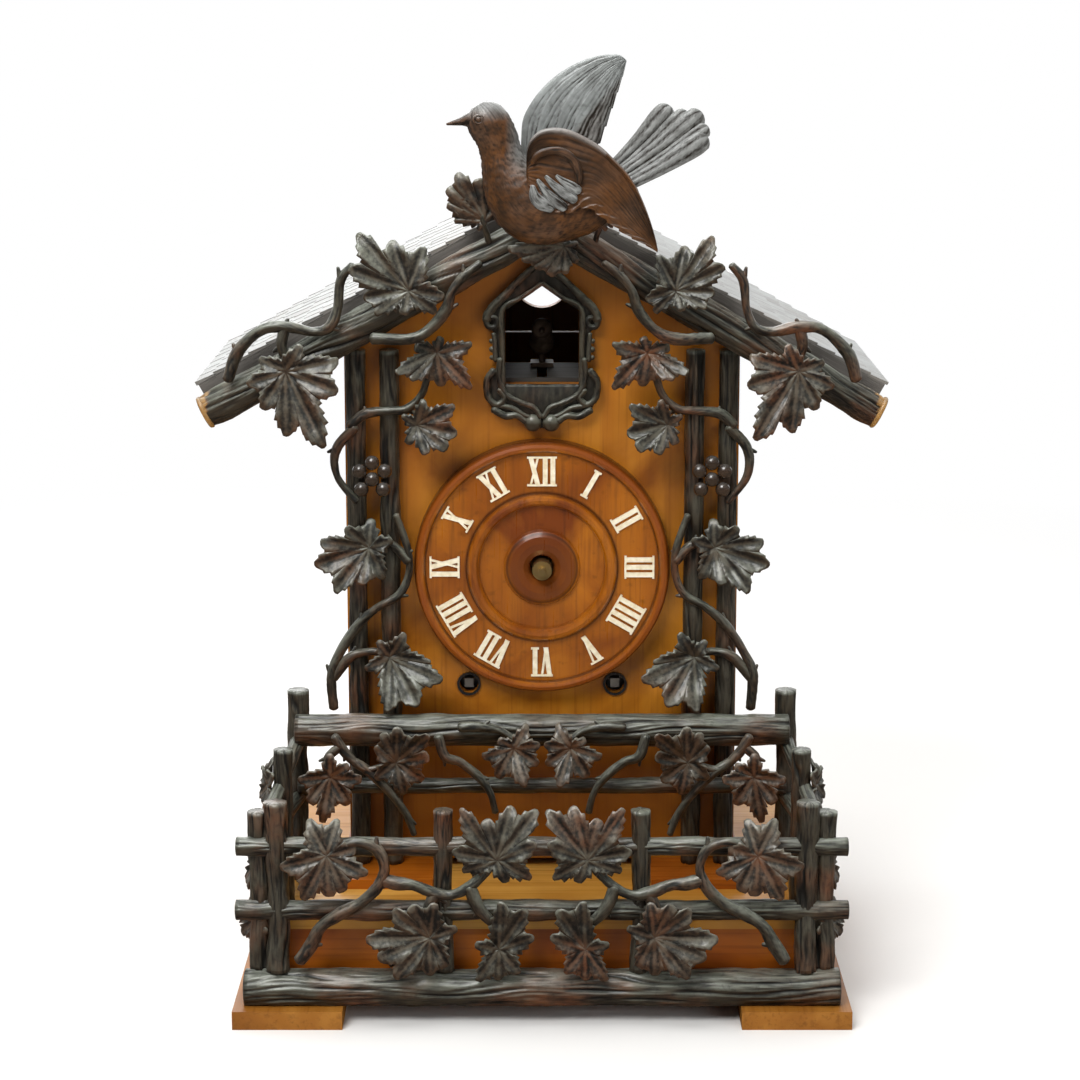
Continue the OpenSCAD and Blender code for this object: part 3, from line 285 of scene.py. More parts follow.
def turnedWood(name, look):
    material, tree, shader, where = startMaterial(name, coat=0.3, coatRoughness=0.14, specular=0.2)
    middle = wire(tree, "Mapping", {"Vector": where, "Location": (0, 0, -look["centre"] * mm),
                                    "Scale": (1, 0, 1)}).outputs[0]
    radius = wire(tree, "VectorMath", {0: middle}, operation="LENGTH").outputs["Value"]
    figure = noiseAt(tree, where, 11, 4, (1, 1, 0.12), 1.0)
    rings = calc(tree, "SINE", calc(tree, "MULTIPLY", figure, 26.0))
    lathe = noiseAt(tree, wire(tree, "CombineXYZ", {"X": radius}).outputs[0], 900, 2)
    fibre = noiseAt(tree, where, 420, 3, (1, 1, 0.05))
    rust = noiseAt(tree, where, 17, 5, None, 0.8)
    fleck = noiseAt(tree, where, 190, 4)
    ring, boss, rim = look["ring"], look["boss"], look["rim"]
    colour = blendColours(tree, ramp(tree, rings, -1, 1, 0.1, 0.9), look["light"], look["mid"])
    colour = stain(tree, colour, look["rust"], rust, 0.5, 0.68, 0.75)
    disc = blendColours(tree, ramp(tree, rust, 0.38, 0.62), look["disc"], look["rust"])
    colour = stain(tree, colour, disc, radius, (ring - 2) * mm, (ring - 3) * mm)
    colour = stain(tree, colour, look["deep"], fibre, 0.5, 0.8, 0.5)
    colour = stain(tree, colour, look["deep"], fleck, 0.6, 0.78, 0.4)
    colour = stain(tree, colour, look["bossColour"], radius, (boss + 1) * mm, (boss - 2) * mm, 0.85)
    colour = stain(tree, colour, look["rimColour"], radius, rim * mm, (rim + 3) * mm, 0.8)
    for line, width in ((ring, 1.4), (boss, 1.2), (rim, 0.8), (look["edge"], 1.5)):
        away = calc(tree, "ABSOLUTE", calc(tree, "SUBTRACT", radius, line * mm))
        waxAndEdgeShadow = ramp(tree, away, 0.2 * mm, width * mm, 0.75, 0)  # old wax sits in the turned lines; the line at the outer edge is a painted shadow
        colour = blendColours(tree, waxAndEdgeShadow, colour, look["deep"])
    dress(tree, shader, colour, ramp(tree, fibre, 0.3, 0.7, 0.26, 0.4), lathe, 0.25, 0.0002)
    return material


def metalFinish(name, look):
    material, tree, shader, where = startMaterial(name, metallic=1.0, specular=0.5)
    brush = noiseAt(tree, where, 500, 3, (1, 1, 0.1))
    tarnish = noiseAt(tree, where, 45, 3)
    colour = blendColours(tree, ramp(tree, tarnish, 0.4, 0.75), look["bright"], look["dull"])
    dress(tree, shader, colour, ramp(tree, tarnish, 0.3, 0.7, *look["gloss"]), brush, 0.15, 0.0002)
    return material


def plainFinish(name, look):
    material, tree, shader, where = startMaterial(name, coat=look.get("coat", 0))
    grain = noiseAt(tree, where, look["grain"], 3)
    colour = blendColours(tree, ramp(tree, grain, 0.35, 0.7), look["light"], look["dark"])
    dress(tree, shader, colour, ramp(tree, grain, 0.3, 0.7, *look["gloss"]), grain, 0.12, 0.0002)
    return material


# in each look the sheen colour and its two limits give the painted sheen laid on what faces up
carved = carvedWood("darkCarvedWalnut", {
    "dark": (0.004, 0.003, 0.0024), "mid": (0.038, 0.027, 0.0155), "worn": (0.115, 0.038, 0.013),
    "bare": (0.34, 0.17, 0.04), "paintedSheen": (0.3, 0.335, 0.275), "paintedSheenFrom": -0.1, "paintedSheenShare": 0.6,
    "streak": 0.14, "gloss": (0.32, 0.6), "coat": 0.42, "bump": 0.5})
# the bird's worn colour is a cool grey: a painted sheen on its crown, nape, tail, far wing and upper wing
# rim
birdWood = carvedWood("brownCarvedBird", {
    "dark": (0.01, 0.006, 0.003), "mid": (0.095, 0.035, 0.008), "worn": (0.29, 0.315, 0.31),
            "patchy": 0.1,
    "paintedSheen": (0.35, 0.37, 0.36), "paintedSheenFrom": 0.4, "paintedSheenShare": 0.55,
    "mottle": 0.6, "fray": 0.6, "streak": 0.25, "gloss": (0.36, 0.6), "coat": 0.2, "bump": 0.4})
plainBoard = {"figure": 15, "rings": 28.0, "fibre": 400, "coat": 0.15, "bump": 0.25, "paintedShade": ()}
# painted shade: the front board darkens up under the eave and low down behind the upper fence
frontWood = grainedWood("honeyFrontBoard", {
    "light": (0.52, 0.198, 0.016), "mid": (0.43, 0.146, 0.009), "deep": (0.21, 0.06, 0.005),
    "pore": (0.14, 0.04, 0.005), "run": "z", "figure": 13, "rings": 22.0, "fibre": 420, "cloud": 19,
    "paintedShade": ((290, 410, 0.65), (160, 120, 0.7)), "gloss": (0.34, 0.5)})
sideWood = grainedWood("honeySideBoard", {
    "light": (0.4, 0.15, 0.022), "mid": (0.32, 0.11, 0.014), "deep": (0.18, 0.055, 0.009),
    "pore": (0.11, 0.033, 0.006), "run": "z", "figure": 14, "rings": 30.0, "cloud": 10,
    "gloss": (0.36, 0.52), "coat": 0.12})
baseWood = grainedWood("orangeBaseBoard", {
    "light": (0.44, 0.125, 0.008), "mid": (0.34, 0.088, 0.005), "deep": (0.18, 0.038, 0.003),
    "pore": (0.1, 0.024, 0.004), "run": "x", "cloud": 12, "gloss": (0.34, 0.5)})
deckWood = grainedWood("paleDeckBoard", {
    "light": (0.6, 0.31, 0.06), "mid": (0.5, 0.235, 0.036), "deep": (0.36, 0.145, 0.016),
    "pore": (0.22, 0.08, 0.012), "run": "x", "rings": 26.0, "fibre": 380, "cloud": 10,
    "gloss": (0.38, 0.54), "coat": 0.1})
footWood = grainedWood("paleFootBatten", {
    "light": (0.37, 0.155, 0.024), "mid": (0.3, 0.115, 0.015), "deep": (0.2, 0.068, 0.008),
    "pore": (0.12, 0.04, 0.006), "run": "y", "figure": 16, "rings": 26.0, "fibre": 380, "cloud": 14,
    "gloss": (0.4, 0.55), "coat": 0.1, "bump": 0.3})
innerWood = grainedWood("plainInnerBoard", {
    "light": (0.25, 0.15, 0.075), "mid": (0.19, 0.11, 0.05), "deep": (0.13, 0.07, 0.03),
    "pore": (0.07, 0.035, 0.016), "run": "x", "figure": 18, "fibre": 380, "cloud": 9,
    "gloss": (0.5, 0.65), "coat": 0.0, "bump": 0.3})
stageWood = grainedWood("greyStageBoard", {
    "light": (0.06, 0.056, 0.05), "mid": (0.045, 0.041, 0.036), "deep": (0.028, 0.025, 0.022),
    "pore": (0.016, 0.014, 0.012), "run": "x", "figure": 18, "fibre": 380, "cloud": 9,
    "gloss": (0.6, 0.75), "coat": 0.0, "bump": 0.3})
grapeWood = carvedWood("polishedGrapes", {
    "dark": (0.006, 0.0045, 0.0035), "mid": (0.03, 0.019, 0.012), "worn": (0.06, 0.03, 0.015),
            "patchy": 0.4,
    "paintedSheen": (0.2, 0.2, 0.19), "paintedSheenFrom": 0.4, "paintedSheenShare": 0.5,
    "streak": 0.5, "gloss": (0.16, 0.3), "coat": 1.0, "bump": 0.15})
# pale grey shingles: partly weathered wood and partly a painted sheen, with more painted sheen on what
# faces up
roofWood = carvedWood("weatheredShingleWithPaintedSheen", {
    "dark": (0.11, 0.1, 0.09), "mid": (0.19, 0.18, 0.165), "worn": (0.2, 0.18, 0.155),
    "paintedSheen": (0.33, 0.345, 0.34), "paintedSheenFrom": 0.3, "paintedSheenShare": 0.9,
    "streak": 0.1, "gloss": (0.42, 0.6), "coat": 0.15, "bump": 0.4})
dialWood = turnedWood("turnedDialWood", {  # centre is its height, edge to boss are radii
    "light": (0.34, 0.105, 0.006), "mid": (0.26, 0.072, 0.004), "deep": (0.04, 0.011, 0.003),
    "rust": (0.15, 0.033, 0.004), "disc": (0.37, 0.115, 0.006), "bossColour": (0.11, 0.026, 0.005),
    "rimColour": (0.19, 0.043, 0.005),
                 "centre": 250.6, "edge": 77, "rim": 70.5, "ring": 45.5, "boss": 21})
bone = plainFinish("carvedBone", {
    "light": (0.8, 0.73, 0.57), "dark": (0.64, 0.53, 0.34), "grain": 260, "gloss": (0.35, 0.5)})
ebony = plainFinish("blackHorn", {
    "light": (0.02, 0.018, 0.017), "dark": (0.008, 0.007, 0.007), "grain": 200, "gloss": (0.2, 0.35),
    "coat": 0.3})
brass = metalFinish("agedBrass", {
    "bright": (0.66, 0.49, 0.22), "dull": (0.36, 0.25, 0.11), "gloss": (0.28, 0.5)})
steel = metalFinish("greySteel", {
    "bright": (0.55, 0.55, 0.56), "dull": (0.28, 0.27, 0.26), "gloss": (0.25, 0.45)})
cuckooPaint = plainFinish("paintedCuckoo", {
    "light": (0.1, 0.068, 0.045), "dark": (0.045, 0.03, 0.02), "grain": 180, "gloss": (0.5, 0.65)})

nodeFinish = {
    footWood: ["feet"], baseWood: ["base_front", "base_boards", "plinth_blocks"], deckWood: ["base_deck"],
    frontWood: ["case_front"], sideWood: ["case_sides", "back_gable", "back_door"],
    stageWood: ["inner_shelves"],
    innerWood: ["case_floor", "whistles", "left_bellows_top", "right_bellows_top"],
    roofWood: ["roof_panels", "ridge_cap"], dialWood: ["dial"], bone: ["dial_numerals"],
    ebony: ["winding_bushes"], cuckooPaint: ["cuckoo_bird"],
    brass: ["door_hinges", "door_hinge_leaves", "door_catch", "front_plate", "back_plate", "going_barrel",
            "strike_barrel", "intermediate_wheel", "hour_wheel", "minute_wheel", "third_wheel",
            "escape_wheel", "pin_wheel", "pendulum", "fly", "centre_arbor"],
    steel: ["catch_screw", "plate_pillars", "going_winder", "strike_winder", "winding_clicks", "pallets",
            "hammer", "gong"],
    carved: ["bargeboards", "pillar_logs", "cuckoo_frame", "fence_log", "front_fence", "side_fences",
             "upper_fence", "roof_vines", "roof_leaves", "case_vines", "case_leaves", "fence_vines",
             "fence_leaves", "grape_clusters", "bird_body", "bird_wings"],
}
for material, names in nodeFinish.items():
    for name in names:
        obj = cadNodes[name]
        if not obj.material_slots:
            obj.data.materials.append(material)
        for entry in obj.material_slots:
            entry.material = material
print("materials:", len(bpy.data.materials))


# logs of the roof, the case front and the yard fence

sawnEnd = ((0.0, 0.1), (0.3, 0.1), (0.62, 0.09), (0.88, 0.05), (0.97, 0.0))
roundEnd = ((0.0, 0.55), (0.35, 0.5), (0.7, 0.33), (0.92, 0.12))
bigLog = {"sides": 96, "step": 2.4, "ribs": 11, "length": 46, "depth": 0.16, "swell": 0.07,
          "ends": sawnEnd}
bargeLog = dict(bigLog, ribs=9, length=60, depth=0.24, swell=0.12, deep=0.7, twist=0.012)
railLog = dict(bigLog, sides=60, ribs=6, length=34, depth=0.2, swell=0.14)
postLog = dict(railLog, step=2.2, length=30, swell=0.16)
pillarLog = dict(railLog, step=2.6, length=44, depth=0.22, swell=0.12, deep=1.22)
rimLook = dict(railLog, sides=12, step=1.4, ribs=2, length=9, depth=0.1, swell=0.2)


def growPost(bm, side, post, look, seed, bow=0, waist=None, thin=0.95):
    x, y, low, high, r = post  # it leans out by bow at the height of its waist
    middle = (side * (x + bow), y, waist or (low + high) / 2, r * thin)
    growWood(bm, [(side * x, y, low, r), middle, (side * x, y, high, r)], look, seed)


def growRail(bm, y, z, r, reach, shares, look, seed, floor=None):
    growWood(bm, [(x * reach, y, z, r) for x in shares], look, seed, floor=floor)


barge = {"y": -47, "knots": [(0, 456, 10.2), (-30, 440.5, 10.4), (-80, 412.5, 10.3), (-130, 385, 10.6),
                             (-172, 361.5, 9.8), (-190, 351.5, 10.2), (-199, 346.5, 9.4)],
         "rim": (-198.6, 347, 3.9, 6.0, 7.6, 1.6), "bareFrom": 197, "deep": 0.7}
bm = newBody()
x0, z0, rx, ry, rz, r = barge["rim"]
for side in (-1, 1):
    growWood(bm, flip([(x, barge["y"], z, r) for x, z, r in barge["knots"]], side), bargeLog, 3 + side)
    growWood(bm, flip([(x0 - rx * math.cos(a), barge["y"] + ry * math.sin(a), z0 + rz * math.cos(a), r)
                       for a in (k * math.pi / 8 for k in range(17))], side), rimLook, 5, tone=1.8)
toneLayer = bm.verts.layers.float["tone"]
for v in bm.verts:  # the edge of a sawn end is rubbed bare
    if abs(v.co.x) > barge["bareFrom"]:
        away = math.hypot((v.co.y - barge["y"]) / barge["deep"], v.co.z - barge["knots"][-1][1])
        v[toneLayer] = max(v[toneLayer], 0.9 + 0.1 * away + 0.6 * noise.noise(v.co / 4))
finishBody(bm, "bargeLogs", carved, "bargeboards")

pillars = {"x": (111, 91), "y": -31, "z": (65, 382), "r": 5.9, "knots": 5}
bm = newBody()
low, high = pillars["z"]
for side in (-1, 1):
    for k, x in enumerate(pillars["x"]):
        heights = [low + t * (high - low) / (pillars["knots"] - 1) for t in range(pillars["knots"])]
        knots = [(side * x, pillars["y"], z, pillars["r"]) for z in heights]
        growWood(bm, knots, pillarLog, 7 + side * 2 + k)
finishBody(bm, "pillarLogs", carved, "pillar_logs")

yard = {"y": -128, "log": (19, 11.6, 173.5), "foot": 11.05, "rails": ((67, 6, 178), (105.5, 5.5, 177)),
        "inner": (57, -128, 30, 127.5, 5.8), "corner": (154, -128, 30, 132.3, 6.9),
        "second": (165, -123, 30, 125.3, 6.4), "waist": 80}
logKnots = (-1, -0.5, 0, 0.5, 1)
railKnots = (-1, -0.6, -0.2, 0.2, 0.6, 1)
bm = newBody()
growRail(bm, yard["y"], *yard["log"], logKnots, bigLog, 11, yard["foot"])
finishBody(bm, "frontLog", carved, "fence_log")

bm = newBody()
for k, rail in enumerate(yard["rails"]):
    growRail(bm, yard["y"], *rail, railKnots, railLog, 13 + k)
for side in (-1, 1):
    growPost(bm, side, yard["inner"], postLog, 17 + side, 0.6, thin=0.94)
    growPost(bm, side, yard["corner"], postLog, 19 + side, -0.8, yard["waist"])
    growPost(bm, side, yard["second"], postLog, 22 + side, -1, yard["waist"])
finishBody(bm, "frontFence", carved, "front_fence")

sideYard = {"front": (160, -115.7), "back": (147.4, -49.5), "r": 4.4,
            "rails": ((69, 73), (103.5, 111.5), (117.5, 146.7)), "post": (153, -88, 59, 152.5, 5.9)}
bm = newBody()
(x0, y0), (x1, y1), r = sideYard["front"], sideYard["back"], sideYard["r"]
for side in (-1, 1):
    for k, (z0, z1) in enumerate(sideYard["rails"]):
        middle = (side * (x0 + x1) / 2, (y0 + y1) / 2, (z0 + z1) / 2 + 0.8, r * 0.94)
        growWood(bm, [(side * x0, y0, z0, r), middle, (side * x1, y1, z1, r)], railLog,
                 25 + k + side * 4, facing=(side, 0, 0))
    growPost(bm, side, sideYard["post"], postLog, 29 + side)
finishBody(bm, "sideFences", carved, "side_fences")

upperYard = {"y": -53, "log": (154.7, 9.7, 148), "thin": (120, 4.9, 147),
             "post": (147, -45, 59, 177.5, 6.4), "waist": 120}
bm = newBody()
growRail(bm, upperYard["y"], *upperYard["log"], logKnots, bigLog, 33)
growRail(bm, upperYard["y"], *upperYard["thin"], logKnots, railLog, 34)
for side in (-1, 1):
    growPost(bm, side, upperYard["post"], postLog, 36 + side, 0.8, upperYard["waist"], 0.94)
finishBody(bm, "upperFence", carved, "upper_fence")


# roof: courses of split shingles with ridge boards

roof = {"top": 457, "pitch": math.radians(29), "low": 5, "high": 17, "step": 1.0, "cap": 18,
        "length": 224.8, "courses": 17, "front": -40, "back": 145.6, "width": (17, 30), "gap": 0.1,
        "ridgeBoards": 5, "narrowest": 9, "lift": 0.06, "short": 1.2, "ridgeLift": 0.35}


def onRoof(side, along, out, y):
    a = roof["pitch"]
    return Vector((side * (along * math.cos(a) + out * math.sin(a)), y,
                   roof["top"] - along * math.sin(a) + out * math.cos(a)))


def addBoard(bm, low, high, bevel, ridge, side, y0, y1, seed, mitre=0):
    made = bmesh.ops.create_cube(bm, size=2)["verts"]
    place, ridgeLayer = bm.verts.layers.float_vector["woodPlace"], bm.verts.layers.float["ridge"]
    for v in made:  # low and high are the two ends: how far along, and out to the lower and upper face
        along, out = (low[0], low[1 + (v.co.z > 0)]) if v.co.x < 0 else (high[0], high[1 + (v.co.z > 0)])
        if v.co.x < 0:
            along -= mitre * out
        y = y0 if v.co.y < 0 else y1
        v.co = onRoof(side, along, out, y)
        v[place] = (y * 0.35, out, along * 0.5 + seed)
        v[ridgeLayer] = ridge
    edges = list(dict.fromkeys(e for v in made for e in v.link_edges))
    bmesh.ops.bevel(bm, geom=edges, offset=bevel, segments=1, profile=0.5, affect="EDGES", material=-1)


def shingleCourse(bm, side, i, start, end):
    y, k = roof["front"], 0
    narrow, broad = roof["width"]
    while y < roof["back"] - 1:
        wide = narrow + (broad - narrow) * clamp(chance(i * 1.37, k * 2.11, side * 3.7) + 0.5)
        far = roof["back"] if roof["back"] - (y + wide) < roof["narrowest"] else y + wide
        worn = chance(i * 3.7, k * 5.3, side)
        lift, short = roof["lift"] * max(0, worn), roof["short"] * max(0, -worn)
        high = roof["high"]
        addBoard(bm, (start - 1, high - 2.2, high - 0.2),
                 (end - short, high - 1, high + roof["step"] - lift), 0.25, 0.7 + 0.3 * worn, side,
                 y + roof["gap"] / 2, far - roof["gap"] / 2, i * 7.3 + k * 11.9)
        y = far
        k += 1


bm = newBody()
each = (roof["length"] - roof["cap"]) / roof["courses"]
boardLength = (roof["back"] - roof["front"]) / roof["ridgeBoards"]
mitre = math.tan(roof["pitch"])  # both slopes are cut upright where they meet
low, high, end = roof["low"], roof["high"], roof["length"] - 1.5
for side in (-1, 1):
    addBoard(bm, (0, low, high - 1.5), (end, low, high - 1), 0.3, 0.1, side,
             roof["front"], roof["back"], 0, mitre)
    for i in range(roof["courses"]):
        start = roof["cap"] + i * each
        shingleCourse(bm, side, i, start, start + each)
    for k in range(roof["ridgeBoards"]):
        y, top = roof["front"] + k * boardLength, high + 2.9 - roof["ridgeLift"] * (k % 2)
        addBoard(bm, (0, high + 0.1, top), (roof["cap"] - 1, high + 0.1, top), 0.4, 0.7 - 0.2 * (k % 2),
                 side, y + 0.1, y + boardLength - 0.1, k * 13, mitre)
finishBody(bm, "roofShingles", roofWood, "roof_panels", "ridge_cap", smooth=False)


# vines

vineLook = {"sides": 22, "step": 1.6, "ribs": 3, "length": 16, "depth": 0.16, "swell": 0.18, "twist": 0.05,
            "ends": roundEnd}
budLook = dict(vineLook, sides=14, step=1.2)
roofStems = [
    [(-184, 368), (-178, 384), (-164, 397), (-150, 399), (-134, 396), (-124, 399), (-119, 410),
     (-117, 426), (-110, 435)],
    [(-150, 399), (-152, 388), (-149, 377)],
    [(-99, 392), (-77, 392), (-65, 398), (-56, 409), (-52, 420), (-45, 429), (-36, 436)],
]
caseStems = [
    [(-114, 338), (-105, 345), (-91, 347), (-80, 348), (-71, 357), (-66, 373)],
    [(-111, 337), (-122, 324), (-122, 308), (-111, 292)],
    [(-126, 165), (-127, 186), (-121, 201), (-110, 217), (-98, 228), (-86, 235), (-80, 247), (-80, 262),
     (-87, 284)],
    [(-126, 184), (-115, 197), (-104, 200), (-94, 199)],
    [(-80, 256), (-90, 266), (-102, 266)],
]
fenceStems = [
    [(-141, 39), (-134, 49), (-128, 60), (-118, 67), (-105, 74), (-95, 84), (-91, 96), (-96, 107),
     (-108, 111), (-119, 106)],
    [(-92, 88), (-84, 86), (-74, 85), (-62, 80), (-52, 79), (-42, 84), (-30, 95)],
    [(-62, 80), (-66, 68), (-60, 57)],
    [(-42, 84), (-36, 70), (-23, 57)],
]
upperStems = [
    [(-124, 154), (-117, 143), (-106, 134), (-93, 136)],
    [(-112, 138), (-101, 130), (-89, 117), (-81, 104), (-77, 93)],
    [(-120, 148), (-128, 141), (-127, 132)],
    [(-62, 154), (-58, 142), (-49, 138), (-38, 129), (-31, 119), (-28, 107)],
    [(-49, 160), (-36, 160), (-24, 157), (-16, 151)],
]


vineForm = {"sway": 0.6, "thick": 1.22, "taper": 0.42, "knobs": (0.96, 1.12),
            "bud": ((0, 0.75), (1.3, 0.52), (2.1, 0.3))}  # how far out and how thick, in radii of the vine


def growVines(bm, stems, y, r, seed):
    for side in (-1, 1):
        for k, stem in enumerate(stems):
            n = len(stem) - 1
            knots = []
            for i, (x, z) in enumerate(stem):
                thick = r * (vineForm["thick"] - vineForm["taper"] * i / n) * vineForm["knobs"][i % 2]
                knots.append((x, y + vineForm["sway"] * math.sin(2.1 * i + k), z, thick))
            growWood(bm, flip(knots, side), vineLook, seed + k + side * 0.4)
            for i in range(1, n, 2):  # a bud on the outside of every other bend
                a, b, c = (Vector((knots[i + d][0], 0, knots[i + d][2])) for d in (-1, 0, 1))
                out = (2 * b - a - c)
                if out.length < 1:
                    continue
                out = out.normalized() * 0.8 + (c - a).normalized() * 0.6
                bud = [(b.x + out.x * (r * far), knots[i][1], b.z + out.z * (r * far), r * share)
                       for far, share in vineForm["bud"]]
                growWood(bm, flip(bud, side), budLook, seed + k + i)


for name, replaced, groups in (  # each group: its stems, how far forward they lie and how thick they are
        ("roofVines", "roof_vines", ((roofStems, -56.7, 3.0),)),
        ("caseVines", "case_vines", ((caseStems, -40.7, 2.6),)),
        ("fenceVines", "fence_vines", ((fenceStems, -136.7, 3.3), (upperStems, -65.7, 2.5)))):
    bm = newBody()
    for k, (stems, y, r) in enumerate(groups):
        growVines(bm, stems, y, r, 50 + 10 * k)
    finishBody(bm, name, carved, replaced)


# leaves: each is its lobes, tip by tip from where the veins meet, with how far each tip leans out

leafLook = {"toothStep": 4.6, "tooth": 0.5, "saw": ((0, 0), (0.5, 0.5), (0.86, 1)), "shoulder": 0.065,
            "notch": (0.86, 108), "rings": 18, "thick": 1.9, "thin": 0.45, "channel": 0.5, "spread": 15,
            "vein": (0.5, 0.8), "gutter": (0.35, 2.0, 0.9), "rib": (0.4, 0.19), "bumps": (0.9, 8),
            "wave": (1.2, 9), "droop": (0.9, 0.86, 0.14), "rubbed": (0.4, 0.88, 0.12)}


def leafRim(lobes, seed):
    ring = []
    n = len(lobes)
    most, wane = leafLook["notch"]
    for k, lobe in enumerate(lobes):
        tip = Vector(lobe[:2])
        along = tip.normalized()
        across = Vector((-along.y, along.x))
        for way, other in ((-1, lobes[k - 1]), (1, lobes[(k + 1) % n])):
            other = Vector(other[:2])
            gap = math.acos(clamp(along.dot(other.normalized()), -1))
            notch = min(tip.length, other.length) * min(most, math.exp(-math.degrees(gap) / wane))
            start = (along * math.cos(gap / 2) + across * way * math.sin(gap / 2)) * notch
            base, reach = start.dot(along), tip.length
            wide = 0.5 * abs(start.dot(across)) + leafLook["shoulder"] * reach
            bulge = along * (base + reach) + across * (way * 2 * wide) - (start + tip) / 2
            edge = (tip - start).length
            teeth = clamp(round(edge / leafLook["toothStep"]), 1, 5)
            half = []
            for i in range(teeth * 3):
                forward, out = leafLook["saw"][i % 3]
                t = (i // 3 + forward) / teeth
                q = start * (1 - t) ** 2 + bulge * 2 * t * (1 - t) + tip * t * t
                saw = out * (1 + 0.6 * chance(i // 3 * 3.3, k * 1.9 + way, seed))
                q += across * way * leafLook["tooth"] * edge / teeth * saw * (1 - 0.5 * t)
                half.append(q)
            ring += half + [tip] if way < 0 else list(reversed(half))[:-1]
    angle, last = [], None
    for q in ring:  # keep the rim in order around the middle
        a = math.atan2(q.y, q.x)
        if last is not None:
            a += 2 * math.pi * round((last - a) / (2 * math.pi))
            a = max(a, last + 0.002)
        angle.append(a)
        last = a
    return [Vector((math.cos(a), math.sin(a))) * q.length for a, q in zip(angle, ring)]


def carveLeaf(bm, leaf, side, seed):
    (x0, z0), plane = leaf["at"], leaf["plane"]
    lobes = sorted(leaf["lobes"], key=lambda lobe: math.atan2(lobe[1], lobe[0]))
    rim = leafRim(lobes, seed)
    around, rings = len(rim), leafLook["rings"]
    rows = 2 * rings + 1
    parts = [(Vector(lobe[:2]).normalized(), Vector(lobe[:2]).length, lobe[2]) for lobe in lobes]
    channel = leaf.get("channel", leafLook["channel"])
    size, turn = leaf.get("sides", {}).get(side, (1, 0))
    swing = leaf.get("swing", 0)
    veinHigh, veinWide = leafLook["vein"]
    gutterDeep, gutterAt, gutterWide = leafLook["gutter"]
    ribHigh, ribStep = leafLook["rib"]
    bumpHigh, bumpWide = leafLook["bumps"]
    waveHigh, waveWide = leafLook["wave"]
    droop, droopFrom, droopWide = leafLook["droop"]
    rubbed, rubbedFrom, rubbedWide = leafLook["rubbed"]

    def heightAt(q, share):
        h = ridge = total = 0.0
        rho = max(q.length, 1e-6)
        for k, (along, length, lean) in enumerate(parts):
            away = math.degrees(math.acos(clamp(along.dot(q) / rho, -1)))
            weight = math.exp(-(away / leafLook["spread"]) ** 2) + 1e-9
            s, w = q.dot(along), abs(q.x * along.y - q.y * along.x)
            t = clamp(s / length, 0, 1.2)
            vein = math.exp(-(w / veinWide) ** 2) * (1 - 0.6 * t) * min(1, rho / 3)
            gutter = math.exp(-((w - gutterAt) / gutterWide) ** 2) * min(1, rho / 5)
            rib = abs((s - 0.8 * w) / (ribStep * length) % 1 - 0.5) * 2
            rib = max(0.0, rib - 0.55) / 0.45 * min(1, w / 2.5) * min(1, rho / 6)
            lift = length * lean * t ** 1.6 + channel * w * min(1, t * 3)
            lift += veinHigh * vein - gutterDeep * gutter + ribHigh * rib
            h += weight * (lift + bumpHigh * chance(s / bumpWide, k * 2.7, seed))
            ridge += weight * (0.42 + 0.5 * vein - 0.3 * gutter + 0.25 * rib)
            total += weight
        wave = chance(q.x / waveWide, q.y / waveWide, seed * 2.3)
        h = h / total + waveHigh * wave * share - droop * max(0, share - droopFrom) / droopWide
        return h, clamp(ridge / total + 0.35 * wave + rubbed * max(0, share - rubbedFrom) / rubbedWide)

    def at(i, j):
        front = j <= rings
        share = (j if front else rows - j) / rings
        q = rim[i] * share
        h, ridge = heightAt(q, share)
        thick = leafLook["thick"] * (1 - leafLook["thin"] * share ** 4)
        y = max(plane - h - (thick if front else 0), leaf.get("foremost", -999))
        c, d = math.cos(turn) * size, math.sin(turn) * size
        x, deep = q.x * c - q.y * d, y - plane
        co = Vector((-side * (x0 + x * math.cos(swing) + deep * math.sin(swing)),
                     plane + deep * math.cos(swing) - x * math.sin(swing), z0 + q.x * d + q.y * c))
        return co, Vector((q.x * 0.6, q.y * 0.6, seed * 17)), ridge

    wrapGrid(bm, around, rows, at, leaf.get("tone", 0))


roofLeafList = [
    {"at": (-77.5, 420.5), "plane": -60.8, "tone": 0.1, "sides": {1: (0.86, -0.12)},
     "lobes": ((9.5, 25, -0.18), (-10, 29, -0.2), (-29.7, 33, -0.12), (-34.6, 12.8, 0.12),
               (-26, -3.5, 0.2), (-19, -13, 0.42), (-2, -14, 0.3), (16, -13, 0.05), (21, -3, 0.08))},
    {"at": (-149.5, 373.5), "plane": -60.8, "tone": 0.2, "sides": {1: (0.95, 0.1)},
     "lobes": ((31, 7, 0.05), (9, 16, 0.1), (-16, 7, -0.25), (-23, -7, 0.1), (-14, -22, 0.15),
               (0, -38, 0.12), (22.6, -44, 0.2), (31, -11, 0.25))},
    {"at": (-33, 460.5), "plane": -55.8, "tone": 0.35, "channel": 0.2,
     "lobes": ((-3, 25, 0.05), (-16, 28, 0.02), (-22, 19, 0.05), (-22, 10, 0.05), (-18, 0, 0.05),
               (-4, -6, 0.0), (8, 8, 0.0))},
]
peakLeaf = {  # hangs over the peak, under the bird
    "at": (13, 446), "plane": -56.6, "tone": 0.3, "channel": 0.3,
    "lobes": ((8, -9, 0.1), (1, -16, 0.2), (-8, -17.5, 0.2), (-17, -13, 0.15), (-25, -8, 0.1),
              (-33, -1, 0.0), (-14, 5, 0.0), (8, 2, 0.0))}
